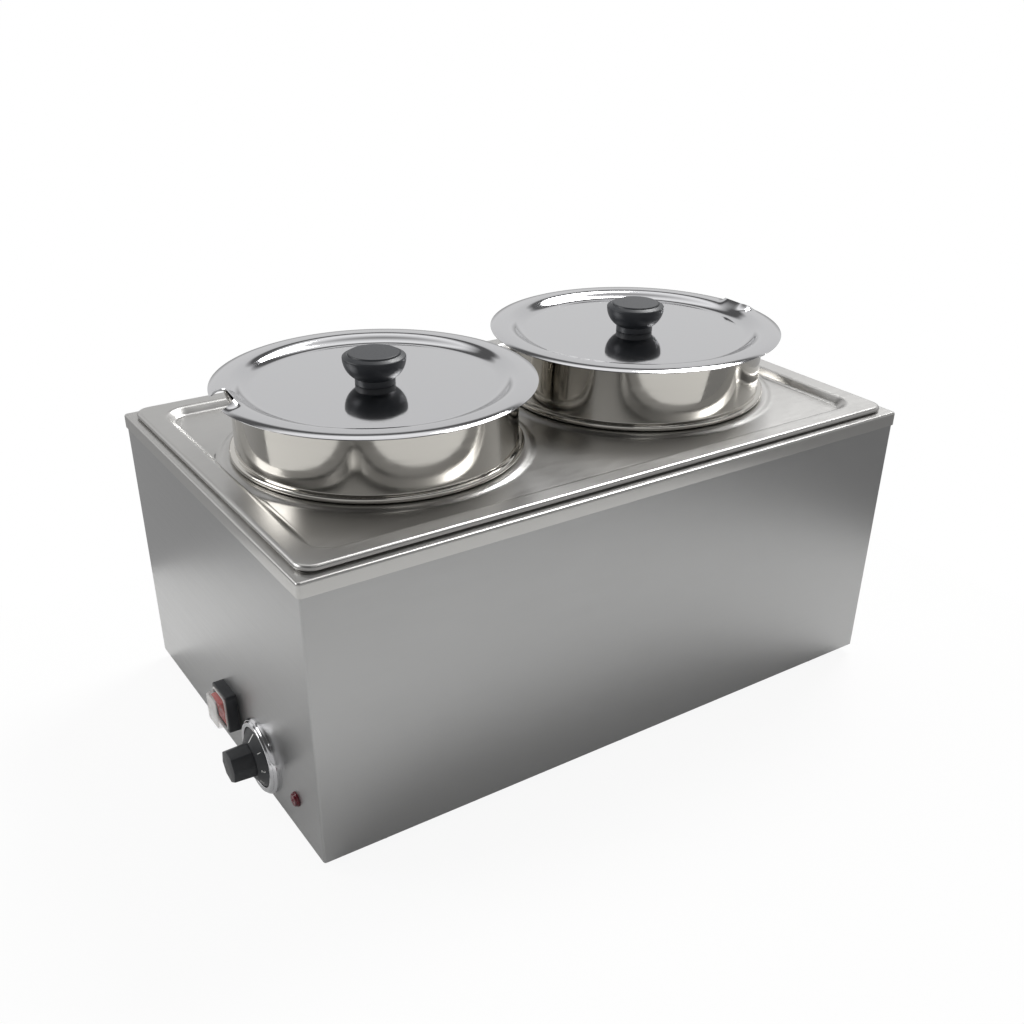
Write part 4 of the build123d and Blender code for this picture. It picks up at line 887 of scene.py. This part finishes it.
class WARMER_OT_adapter_plate(bpy.types.Operator):
    """Press the adapter plate: turned-down edge, sunken field and a raised ring round each opening"""

    bl_idname = "warmer.adapter_plate"
    bl_label = "Adapter plate"

    def execute(self, context):
        sizes = context.scene.warmer_sheets
        foot = DECK_Z + SEAT_GAP
        field = PLATE_TOP - sizes.field_depth
        top = field + sizes.shoulder_rise
        outline = PLATE_HIGH - PLATE_LOW
        edge = foot + sizes.plate_tuck_height
        under = outline - 2 * sizes.plate_tuck * Vector((1, 1, 0))
        lay_sheet(Vector((CASE_X, 0, edge)), outline.x, outline.y, sizes.plate_corner)
        press(
            trace_line(
                (0, edge),
                (0, 1),
                [
                    ((0, PLATE_TOP - sizes.plate_bend), 1),
                    ((sizes.plate_bend, PLATE_TOP), 7),
                    ((sizes.plate_bend + FLAT_RUN, PLATE_TOP), 1),
                ],
            )
        )
        bpy.ops.mesh.delete(type="ONLY_FACE")
        drop_face(edge)
        lay_sheet(Vector((CASE_X, 0, foot)), under.x, under.y, sizes.plate_corner - sizes.plate_tuck)
        drop_face(foot)
        bridge_at(foot, edge)
        margin = sizes.plate_rim - FLAT_RUN
        lay_sheet(
            Vector((CASE_X, 0, PLATE_TOP)),
            outline.x - 2 * margin,
            outline.y - 2 * margin,
            sizes.field_corner + FLAT_RUN,
        )
        slope = sizes.field_slope
        bend, fall = 0.34 * slope, 0.2 * sizes.field_depth
        press(
            trace_line(
                (-FLAT_RUN, PLATE_TOP),
                (1, 0),
                [
                    ((0, PLATE_TOP), 1),
                    ((bend, PLATE_TOP - fall), 5),
                    ((slope - bend, field + fall), 1),
                    ((slope, field), 5),
                    ((slope + FLAT_RUN, field), 1),
                ],
            )
        )
        bpy.ops.mesh.delete(type="ONLY_FACE")
        bridge_at(PLATE_TOP)
        bpy.ops.object.mode_set(mode="OBJECT")
        plate = context.object
        outer, flat = sizes.shoulder_outer, sizes.shoulder_flat
        ring_line = trace_line(
            (outer + FLAT_RUN, field),
            (-1, 0),
            [
                ((outer, field), 1),
                (((outer + flat) / 2, (field + top) / 2), 5),
                ((flat, top), 5),
                ((sizes.opening + sizes.opening_roll, top), 1),
                ((sizes.opening, top - sizes.opening_roll), 6),
            ],
        )
        rings = [spin_line(ring_line, pot_axis(side)) for side in SIDES]
        join(plate, *rings)
        bpy.ops.object.mode_set(mode="EDIT")
        fill_flat(field)
        face_up(field)
        bpy.ops.object.mode_set(mode="OBJECT")
        thicken(plate, sizes.sheet, -1)
        finish_piece(
            plate, "pressed_adapter_plate", rolled_stainless(), "adapter", "pan_steel", "adapter_plate"
        )
        return {"FINISHED"}


class WARMER_OT_pots(bpy.types.Operator):
    """Spin the two pots with their hanging bead and curled rim"""

    bl_idname = "warmer.pots"
    bl_label = "Pots"

    def execute(self, context):
        sizes = context.scene.warmer_pots
        sheets = context.scene.warmer_sheets
        half = sizes.sheet / 2
        wall, fillet, ledge = sizes.wall, sizes.bead_fillet, sizes.bead_ledge
        floor = POT_LOW.z + half
        seat = PLATE_TOP - sheets.field_depth + sheets.shoulder_rise + SEAT_GAP + half
        shelf = seat + sizes.bead_height
        curl = sizes.curl / 2
        curl_height = POT_RIM - half - curl
        under = Matrix.Rotation(-sizes.curl_turn, 2) @ Vector((-curl, 0))
        line = trace_line(
            (0, floor),
            (1, 0),
            [
                ((wall - sizes.floor_radius, floor), 1),
                ((wall, floor + sizes.floor_radius), 10),
                ((wall, seat - fillet), 1),
                ((wall + fillet, seat), 4),
                ((wall + ledge, seat), 1),
                ((wall + ledge, shelf), 10),
                ((wall + fillet, shelf), 1),
                ((wall, shelf + fillet), 4),
                ((wall, curl_height), 1),
                ((wall + curl + under.x, curl_height + under.y), 14),
            ],
        )
        for side in SIDES:
            pot = spin_line(line, pot_axis(side))
            thicken(pot, sizes.sheet, 0)
            finish_piece(
                pot, f"spun_pot_{side}", polished_stainless(), f"{side}_pot", "polished_steel", f"pot_{side}"
            )
        return {"FINISHED"}


def lid_line(context):
    """The middle line of a lid from its screw hole to its lip, as (radius, height) points."""
    sizes = context.scene.warmer_lids
    pots = context.scene.warmer_pots
    crest_z = POT_RIM + SEAT_GAP + pots.sheet / 2
    crest = Vector((pots.wall + pots.curl / 2, crest_z))
    disc = Vector((sizes.disc, crest_z - sizes.drop))
    slope = crest - disc
    turn = slope.y / slope.x
    both_radii = slope.x * (1 + turn**2) / (2 * turn)
    wall_end = crest - slope * (sizes.crest / both_radii)
    return trace_line(
        (sizes.hole, disc.y),
        (1, 0),
        [
            ((sizes.knob_neck, disc.y), 1),
            ((sizes.disc - MM, disc.y), 1),
            (disc, 1),
            (wall_end, 18),
            (crest, 14),
            ((sizes.flange_end, crest_z - sizes.flange_fall), 6),
            ((sizes.radius, crest_z - sizes.lip_fall), 6),
        ],
    )


def height_on(line, radius):
    """The height of a line of (radius, height) points at a radius."""
    for near, far in zip(line, line[1:]):
        if near.x <= radius <= far.x:
            return near.y + (far.y - near.y) * (radius - near.x) / (far.x - near.x)
    return line[-1].y


def split(start, end, steps):
    """Straight moves from one point to another in equal steps."""
    return [(Vector(start).lerp(Vector(end), step / steps), 1) for step in range(1, steps + 1)]


def notch_path(sizes, margin, way):
    """Plan of the ladle notch's edge, set out by a margin: in from the lip, along the end and out again."""
    half = sizes.notch_width / 2 + margin
    end = sizes.notch_end - margin
    corner = sizes.notch_corner + margin
    lip = sqrt(sizes.radius**2 - half**2)
    points = trace_line(
        (lip, -half),
        (-1, 0),
        [
            *split((lip, -half), (end + corner, -half), 4),
            ((end, corner - half), 10),
            *split((end, corner - half), (end, half - corner), 6),
            ((end + corner, half), 10),
            *split((end + corner, half), (lip, half), 4),
        ],
    )
    return [Vector((way * point.x, point.y)) for point in points]


class WARMER_OT_lids(bpy.types.Operator):
    """Spin the two lids, cut their ladle notches and turn up the notches' borders"""

    bl_idname = "warmer.lids"
    bl_label = "Lids"

    def execute(self, context):
        sizes = context.scene.warmer_lids
        sheet = context.scene.warmer_pots.sheet
        line = lid_line(context)
        turns = {"left": sizes.turn_left, "right": sizes.turn_right}
        for side, way in SIDES.items():
            axis = pot_axis(side)
            lid = spin_line(line, axis, LID_STEPS)
            thicken(lid, sheet, 0)
            self.cut_notch(context, lid, axis, way, turns[side])
            border = self.turn_up_border(context, line, axis, way, turns[side])
            thicken(border, sheet, 0)
            join(lid, border)
            finish_piece(
                lid, f"spun_lid_{side}", lid_stainless(side), f"{side}_lid", "polished_steel", f"lid_{side}"
            )
        return {"FINISHED"}

    def cut_notch(self, context, lid, axis, way, turn):
        """Cuts the notch as wide as its border's foot."""
        sizes = context.scene.warmer_lids
        foot = sizes.border_foot
        run = 2 * (sizes.radius - sizes.notch_end + foot)
        centre = Vector((way * (sizes.notch_end - foot + run / 2), 0, POT_RIM - 2 * sizes.drop))
        width = sizes.notch_width + 2 * foot
        lay_sheet(centre, run, width, sizes.notch_corner + foot)
        bpy.ops.mesh.extrude_region_move(TRANSFORM_OT_translate={"value": (0, 0, 4 * sizes.drop)})
        tool = leave_outward()
        tool.location = axis
        tool.rotation_euler = (0, 0, turn)
        combine(lid, tool, "DIFFERENCE")

    def turn_up_border(self, context, line, axis, way, turn):
        """Makes the border row by row, from just inside the sheet up round its bend."""
        sizes = context.scene.warmer_lids
        swing = Matrix.Rotation(turn, 2)
        rows = [(sizes.border_foot + sizes.border_tuck, -sizes.border_sink)]
        for step in range(BORDER_ROWS + 1):
            share = step / BORDER_ROWS
            rows.append((sizes.border_foot * (1 - share), sizes.border * share**2))
        before = []
        for margin, rise in rows:
            places = []
            for point in notch_path(sizes, margin, way):
                inward = min(max((sizes.radius - point.length) / sizes.border_end, 0), 1)
                swell = inward * inward * (3 - 2 * inward)
                height = height_on(line, min(point.length, sizes.radius)) + rise * swell
                places.append(axis + (swing @ point).to_3d() + Vector((0, 0, height)))
            draw_chain(places)
            if before:
                both = [*before, *places]
                pick("verts", lambda vertex: any((vertex.co - place).length < 10 * FINE for place in both))
                bpy.ops.mesh.bridge_edge_loops()
            before = places
        return leave_outward()


class WARMER_OT_lid_knobs(bpy.types.Operator):
    """Turn the two lid knobs: neck, bowl-shaped head and raised disc"""

    bl_idname = "warmer.lid_knobs"
    bl_label = "Lid knobs"

    def execute(self, context):
        sizes = context.scene.warmer_lids
        seat, top = KNOB_LOW.z, KNOB_HIGH.z
        neck, head, disc = sizes.knob_neck, sizes.knob_head, sizes.knob_disc
        neck_top, widest = seat + sizes.knob_neck_top, seat + sizes.knob_widest
        shoulder = top - sizes.knob_disc_rise
        screw_end = seat + sizes.knob_screw
        foot_edge = 0.4 * MM
        rim_draw, rim_rise = 0.7 * MM, 1.2 * MM
        crown = 0.1 * MM
        groove_floor, groove_depth = 0.2 * MM, 0.25 * MM
        disc_foot, disc_edge = 0.3 * MM, 0.6 * MM
        line = trace_line(
            (0, screw_end),
            (1, 0),
            [
                ((sizes.hole, screw_end), 1),
                ((sizes.hole, seat), 1),
                ((neck - foot_edge, seat), 1),
                ((neck, seat + foot_edge), 3),
                ((neck, neck_top), 1),
                ((head, widest), 18, (cos(sizes.knob_bowl), sin(sizes.knob_bowl))),
                ((head - rim_draw, widest + rim_rise), 4, (0, 1)),
                ((disc + sizes.knob_groove, shoulder + crown), 6),
                ((disc + groove_floor, shoulder - groove_depth), 1),
                ((disc, shoulder + disc_foot), 1),
                ((disc - disc_edge, top), 5),
                ((0, top), 1),
            ],
        )
        for side in SIDES:
            knob = spin_line(line, pot_axis(side), KNOB_STEPS)
            finish_piece(
                knob, f"moulded_knob_{side}", black_phenolic(), f"{side}_lid", "phenolic", f"lid_knob_{side}"
            )
        return {"FINISHED"}


class WARMER_OT_switch(bpy.types.Operator):
    """Model the rocker switch: frame, red rocker and the clear splash boot over it"""

    bl_idname = "warmer.switch"
    bl_label = "Switch"

    def execute(self, context):
        sizes = context.scene.warmer_controls
        place = wall_place("switch_frame")
        self.mould_frame(sizes, place)
        self.form_boot(sizes, place)
        self.mould_rocker(sizes, place)
        return {"FINISHED"}

    def mould_frame(self, sizes, place):
        """The frame: a rounded border round a well for the rocker."""
        reach, border = sizes.frame_reach, sizes.frame_border
        edge = 1.0 * MM
        chamfer = 0.3 * MM
        well_floor = 0.5 * MM
        lay_sheet(Vector((0, 0, 0)), sizes.frame_width, sizes.frame_height, sizes.frame_corner, steps=6)
        press(
            trace_line(
                (0, 0),
                (0, 1),
                [
                    ((0, reach - edge), 1),
                    ((edge, reach), 4),
                    ((border, reach), 1),
                    ((border + chamfer, reach - chamfer), 1),
                    ((border + chamfer, well_floor), 1),
                ],
            )
        )
        surround = leave_outward()
        mount(surround, place)
        finish_piece(
            surround, "moulded_switch_frame", black_plastic(), "base", "black_plastic", "switch_frame"
        )

    def form_boot(self, sizes, place):
        """The splash boot: a flange on the frame, leaning walls and a face with a rounded edge."""
        reach, sheet, inset = sizes.frame_reach, sizes.boot_sheet, sizes.boot_inset
        wall = sizes.boot_foot - inset
        flange_edge = 0.3 * MM
        foot_radius = 0.5 * MM
        lean = 0.6 * MM
        face_edge, face_drop = 2.3 * MM, 2.0 * MM
        lay_sheet(
            Vector((0, 0, reach)),
            sizes.frame_width - 2 * inset,
            sizes.frame_height - 2 * inset,
            sizes.boot_corner,
            steps=8,
        )
        press(
            trace_line(
                (0, reach),
                (0, 1),
                [
                    ((0, reach + sheet - flange_edge), 1),
                    ((flange_edge, reach + sheet), 3),
                    ((wall - foot_radius, reach + sheet), 1),
                    ((wall, reach + sheet + foot_radius), 4),
                    ((wall + lean, sizes.boot_reach - face_drop), 1),
                    ((wall + face_edge, sizes.boot_reach), 6),
                ],
            )
        )
        drop_face(reach)
        face_up(sizes.boot_reach)
        bpy.ops.object.mode_set(mode="OBJECT")
        boot = bpy.context.object
        thicken(boot, sheet, -1)
        mount(boot, place)
        finish_piece(boot, "vinyl_splash_boot", clear_vinyl(), "base", "boot_clear", "switch_boot")

    def mould_rocker(self, sizes, place):
        """The rocker: a tapered block with a hollow face, leaning on its pins."""
        half, face, width = sizes.rocker_half, sizes.rocker_face, sizes.rocker_width
        foot, depth = sizes.rocker_foot, sizes.rocker_depth
        edge, sharp = 0.6 * MM, radians(25)
        outline = trace_line(
            (-half, face),
            (0, -1),
            [
                ((-half, face / 2), 1),
                ((-foot, -depth), 1),
                ((foot, -depth), 1),
                ((half, face / 2), 1),
                ((half, face), 1),
            ],
        )
        for step in range(1, HOLLOW_STEPS):
            along = half * (1 - 2 * step / HOLLOW_STEPS)
            outline.append(Vector((along, face - sizes.rocker_hollow * (1 - (along / half) ** 2))))
        lean = Matrix.Rotation(sizes.rocker_tilt, 2)
        places = []
        for point in [*outline, outline[0]]:
            across, out = lean @ point
            places.append(Vector((-width / 2, across, out + sizes.pivot_reach)))
        draw_chain(places)
        bpy.ops.mesh.select_all(action="SELECT")
        bpy.ops.mesh.remove_doubles(threshold=FINE)
        bpy.ops.mesh.edge_face_add()
        bpy.ops.mesh.extrude_region_move(TRANSFORM_OT_translate={"value": (width, 0, 0)})
        rocker = leave_outward()
        apply_modifier(rocker, "BEVEL", width=edge, segments=3, limit_method="ANGLE", angle_limit=sharp)
        mount(rocker, place)
        finish_piece(rocker, "moulded_rocker", red_rocker(), "rocker", "rocker_red", "switch_rocker")


class WARMER_OT_thermostat(bpy.types.Operator):
    """Model the thermostat dial: bright bezel, black skirt with its grip, and printed marks"""

    bl_idname = "warmer.thermostat"
    bl_label = "Thermostat"

    # Radius of the edge at the skirt's rim
    rim_edge = 0.6 * MM

    def execute(self, context):
        sizes = context.scene.warmer_controls
        place = wall_place("dial_bezel")
        self.press_bezel(sizes, place)
        self.mould_knob(sizes, place)
        self.print_marks(sizes, place)
        return {"FINISHED"}

    def press_bezel(self, sizes, place):
        """The bright ring: a low outer step, a groove and a rounded crown round the bore."""
        bore, rim, reach = sizes.bezel_bore, sizes.bezel_radius, sizes.bezel_reach
        foot = 1.0 * MM
        step_width, step_fall = 1.1 * MM, 1.9 * MM
        groove = 1.9 * MM
        crown_foot, crown_foot_fall = 2.4 * MM, 0.6 * MM
        crown = 3.6 * MM
        bore_edge = 0.9 * MM
        line = trace_line(
            (bore, 0),
            (1, 0),
            [
                ((rim, 0), 1),
                ((rim, foot), 1),
                ((rim - step_width, reach - step_fall), 6),
                ((rim - groove, reach - step_fall), 1),
                ((rim - crown_foot, reach - crown_foot_fall), 1),
                ((rim - crown, reach), 5),
                ((bore + bore_edge, reach), 1),
                ((bore, reach - bore_edge), 4),
                ((bore, 0), 1),
            ],
        )
        bezel = spin_line(line, Vector((0, 0, 0)), BEZEL_STEPS)
        mount(bezel, place)
        finish_piece(bezel, "plated_bezel", chrome_plate(), "base", "bezel_chrome", "dial_bezel")

    def mould_knob(self, sizes, place):
        """The knob: a conical skirt and an eight-sided grip that narrows outwards."""
        skirt, back, front = sizes.skirt_radius, sizes.skirt_back, sizes.skirt_front
        back_edge = 0.3 * MM
        grip_root, grip_edge = 0.4 * MM, 0.7 * MM
        line = trace_line(
            (0, back),
            (1, 0),
            [
                ((skirt - back_edge, back), 1),
                ((skirt, back + back_edge), 3),
                ((skirt, front - self.rim_edge), 1),
                ((skirt - self.rim_edge, front), 4),
                ((sizes.cone_radius, sizes.cone_reach), 1),
                ((0, sizes.cone_reach), 1),
            ],
        )
        knob = spin_line(line, Vector((0, 0, 0)), KNOB_STEPS)
        low, high = back + grip_root, sizes.grip_reach
        bpy.ops.object.select_all(action="DESELECT")
        bpy.ops.mesh.primitive_cylinder_add(
            vertices=8,
            radius=sizes.grip_radius,
            depth=high - low,
            location=(0, 0, (high + low) / 2),
            rotation=(0, 0, sizes.grip_turn),
        )
        bpy.ops.object.transform_apply(location=True, rotation=True, scale=True)
        bpy.ops.object.mode_set(mode="EDIT")
        pick("faces", lambda face: at_height(face, high))
        shrink = sizes.grip_end / sizes.grip_radius
        bpy.ops.transform.resize(value=(shrink, shrink, 1), center_override=(0, 0, high))
        pick("edges", lambda edge: not at_height(edge, low))
        bpy.ops.mesh.bevel(offset=grip_edge, segments=3, profile=0.5, affect="EDGES")
        bpy.ops.object.mode_set(mode="OBJECT")
        combine(knob, bpy.context.object, "UNION")
        mount(knob, place)
        finish_piece(knob, "moulded_dial_knob", black_plastic(), "dial", "black_plastic", "thermostat_knob")

    def print_marks(self, sizes, place):
        """The print on the cone: an index line and the numbers 1 to 6."""
        rim = sizes.skirt_radius - self.rim_edge
        cone, front, reach = sizes.cone_radius, sizes.skirt_front, sizes.cone_reach
        tilt = -atan2(reach - front, rim - cone)
        lift = sizes.ink / 4
        spot = Vector((0, (rim + cone) / 2, (front + reach) / 2 + lift))
        bpy.ops.object.select_all(action="DESELECT")
        bpy.ops.mesh.primitive_cube_add(
            size=1,
            location=spot,
            rotation=(tilt, 0, 0),
            scale=(sizes.index_width, sizes.index_length, sizes.ink),
        )
        bpy.ops.object.transform_apply(location=True, rotation=True, scale=True)
        marks = [bpy.context.object]
        for number in range(1, 7):
            turn = -sizes.number_step * number
            bpy.ops.object.select_all(action="DESELECT")
            bpy.ops.object.text_add(
                location=Matrix.Rotation(turn, 3, "Z") @ spot, rotation=(tilt, 0, turn)
            )
            text = bpy.context.object
            text.data.body = str(number)
            text.data.size = sizes.number_height
            text.data.align_x = "CENTER"
            text.data.align_y = "CENTER"
            text.data.extrude = sizes.ink / 2
            bpy.ops.object.convert(target="MESH")
            bpy.ops.object.transform_apply(location=True, rotation=True, scale=True)
            marks.append(bpy.context.object)
        printed = join(*marks)
        mount(printed, place)
        finish_piece(printed, "printed_dial_marks", white_ink(), "dial", "black_plastic")


class WARMER_OT_lamp(bpy.types.Operator):
    """Turn the lamp's domed red lens"""

    bl_idname = "warmer.lamp"
    bl_label = "Lamp"

    def execute(self, context):
        sizes = context.scene.warmer_controls
        flange, lens, reach = sizes.lens_flange, sizes.lens_radius, sizes.lens_reach
        flange_foot, flange_top, flange_edge = 0.8 * MM, 1.3 * MM, 0.5 * MM
        root, root_height = 0.2 * MM, 1.6 * MM
        dome_foot, shoulder = 1.6 * MM, Vector((0.78 * lens, reach - 0.75 * MM))
        line = trace_line(
            (0, 0),
            (1, 0),
            [
                ((flange, 0), 1),
                ((flange, flange_foot), 1),
                ((flange - flange_edge, flange_top), 3),
                ((lens + root, flange_top), 1),
                ((lens, root_height), 1),
                ((lens, reach - dome_foot), 1),
                (shoulder, 4),
                ((0, reach), 6),
            ],
        )
        lens_piece = spin_line(line, Vector((0, 0, 0)), SMALL_STEPS)
        mount(lens_piece, wall_place("indicator_lens"))
        finish_piece(lens_piece, "moulded_lamp_lens", red_lens(), "base", "lens_red", "indicator_lens")
        return {"FINISHED"}


class WARMER_OT_inner_parts(bpy.types.Operator):
    """Give the base, feet, screws and the heating parts their finishes"""

    bl_idname = "warmer.inner_parts"
    bl_label = "Base and inner parts"

    def execute(self, context):
        finishes = {
            "plated_steel": zinc_plate(),
            "element_sheath": element_sheath(),
            "foot_rubber": nitrile_rubber(),
            "black_plastic": black_plastic(),
            "pale_plastic": pale_nylon(),
            "bulb_copper": bulb_copper(),
        }
        for part in frame["record"]["subparts"]:
            node = frame["nodes"][part["node"]]
            if not node.hide_render and part["material_slot"] in finishes:
                node.material_slots[0].material = finishes[part["material_slot"]]
        return {"FINISHED"}


class WARMER_OT_stage(bpy.types.Operator):
    """Set up the pale table, the soft light and the camera"""

    bl_idname = "warmer.stage"
    bl_label = "Stage"

    def execute(self, context):
        scene = context.scene
        scene.view_settings.view_transform = "Standard"
        bpy.ops.object.select_all(action="DESELECT")
        bpy.ops.mesh.primitive_plane_add(size=1.0, location=(TABLE_NEAR + TABLE_FAR) / 2)
        floor = context.object
        floor.scale = (*(TABLE_FAR - TABLE_NEAR).xy, 1)
        floor.name = "studio_table"
        floor.data.materials.append(self.floor_material())
        self.light_world(scene)
        target = Vector((CASE_X, 0, POT_RIM / 2))
        for name, (place, size, power) in LAMPS.items():
            aim = (target - Vector(place)).to_track_quat("-Z", "Y").to_euler()
            bpy.ops.object.light_add(type="AREA", location=place, rotation=aim)
            lamp = context.object
            lamp.name = name
            lamp.data.shape = "RECTANGLE"
            lamp.data.size, lamp.data.size_y = size
            lamp.data.energy = power
        bpy.ops.object.camera_add(location=CAMERA_PLACE)
        camera = context.object
        up = CAMERA_RIGHT.cross(CAMERA_AHEAD)
        camera.rotation_euler = Matrix((CAMERA_RIGHT, up, -CAMERA_AHEAD)).transposed().to_euler()
        camera.data.sensor_width = CAMERA_SENSOR
        camera.data.lens = CAMERA_LENS
        camera.data.shift_x, camera.data.shift_y = CAMERA_SHIFT
        scene.camera = camera
        return {"FINISHED"}

    def floor_material(self):
        """Matt white table: nearly all white to the eye, with the object's shadow kept faintly on it."""
        material, tree, shader = start_material(
            "matt_table", bpy.context.scene.warmer_finishes.floor, roughness=0.9
        )
        path = add_node(tree, "ShaderNodeLightPath")
        mirrored = add_node(
            tree,
            "ShaderNodeMath",
            {"operation": "MAXIMUM"},
            {0: path.outputs["Is Glossy Ray"], 1: path.outputs["Is Transmission Ray"]},
        )
        mirrored = add_node(
            tree,
            "ShaderNodeMath",
            {"operation": "MULTIPLY", 1: TABLE_MIRRORED_WHITE},
            {0: mirrored.outputs["Value"]},
        )
        share = add_node(
            tree,
            "ShaderNodeMath",
            {"operation": "MULTIPLY_ADD", 1: TABLE_SEEN_WHITE, "use_clamp": True},
            {0: path.outputs["Is Camera Ray"], 2: mirrored.outputs["Value"]},
        )
        white = add_node(tree, "ShaderNodeEmission", {"Color": (1, 1, 1, 1), "Strength": 1.0})
        blend = add_node(
            tree,
            "ShaderNodeMixShader",
            links={0: share.outputs["Value"], 1: shader.outputs["BSDF"], 2: white.outputs["Emission"]},
        )
        tree.links.new(blend.outputs["Shader"], tree.nodes["Material Output"].inputs["Surface"])
        return material

    def light_world(self, scene):
        """A studio room: pale behind the object, dim in front of it and white to the eye."""
        world = bpy.data.worlds.new("studio_room")
        scene.world = world
        world.use_nodes = True
        tree = world.node_tree
        way = add_node(tree, "ShaderNodeTexCoord")
        behind = add_node(
            tree,
            "ShaderNodeVectorMath",
            {"operation": "DOT_PRODUCT", 1: ROOM_WAY},
            {0: way.outputs["Generated"]},
        )
        axes = add_node(tree, "ShaderNodeSeparateXYZ", links={"Vector": way.outputs["Generated"]})
        far = self.add_levels(tree, axes.outputs["Z"], *ROOM_FAR)
        near = self.add_levels(tree, axes.outputs["Z"], *ROOM_NEAR)
        room = add_node(
            tree,
            "ShaderNodeMapRange",
            {"interpolation_type": "SMOOTHSTEP", "From Min": ROOM_TURN[0], "From Max": ROOM_TURN[1]},
            {"Value": behind.outputs["Value"], "To Min": near, "To Max": far},
        )
        path = add_node(tree, "ShaderNodeLightPath")
        seen = add_node(
            tree,
            "ShaderNodeMath",
            {"operation": "MAXIMUM"},
            {0: path.outputs["Is Camera Ray"], 1: room.outputs["Result"]},
        )
        tree.links.new(seen.outputs["Value"], tree.nodes["Background"].inputs["Color"])

    def add_levels(self, tree, height, lowest, between, highest):
        """Brightness up the room: at the horizon, at heights between and overhead."""
        ramp = add_node(tree, "ShaderNodeValToRGB", links={"Fac": height})
        stops = ramp.color_ramp.elements
        stops[0].color = (lowest, lowest, lowest, 1)
        stops[1].color = (highest, highest, highest, 1)
        for place, level in between.items():
            stops.new(place).color = (level, level, level, 1)
        bright = add_node(
            tree, "ShaderNodeMath", {"operation": "MULTIPLY", 1: ROOM_STRENGTH}, {0: ramp.outputs["Color"]}
        )
        return bright.outputs["Value"]


PIECES = (
    WARMER_OT_casing,
    WARMER_OT_water_pan,
    WARMER_OT_adapter_plate,
    WARMER_OT_pots,
    WARMER_OT_lids,
    WARMER_OT_lid_knobs,
    WARMER_OT_switch,
    WARMER_OT_thermostat,
    WARMER_OT_lamp,
    WARMER_OT_inner_parts,
    WARMER_OT_stage,
)


class WARMER_PT_build(bpy.types.Panel):
    """Lists the pieces of the food warmer"""

    bl_idname = "WARMER_PT_build"
    bl_label = "Food warmer"
    bl_space_type = "VIEW_3D"
    bl_region_type = "UI"
    bl_category = "Warmer"

    def draw(self, context):
        for piece in PIECES:
            self.layout.operator(piece.bl_idname)


SETTINGS = {
    "warmer_sheets": SheetSizes,
    "warmer_pots": PotSizes,
    "warmer_lids": LidSizes,
    "warmer_controls": ControlSizes,
    "warmer_finishes": Finishes,
}
CLASSES = (*SETTINGS.values(), *PIECES, WARMER_PT_build)


def register():
    for kind in CLASSES:
        bpy.utils.register_class(kind)
    for name, kind in SETTINGS.items():
        setattr(bpy.types.Scene, name, PointerProperty(type=kind))


def unregister():
    for name in SETTINGS:
        delattr(bpy.types.Scene, name)
    for kind in reversed(CLASSES):
        bpy.utils.unregister_class(kind)


def main():
    register()
    bpy.ops.warmer.casing()
    bpy.ops.warmer.water_pan()
    bpy.ops.warmer.adapter_plate()
    bpy.ops.warmer.pots()
    bpy.ops.warmer.lids()
    bpy.ops.warmer.lid_knobs()
    bpy.ops.warmer.switch()
    bpy.ops.warmer.thermostat()
    bpy.ops.warmer.lamp()
    bpy.ops.warmer.inner_parts()
    bpy.ops.warmer.stage()


if __name__ == "__main__":
    main()
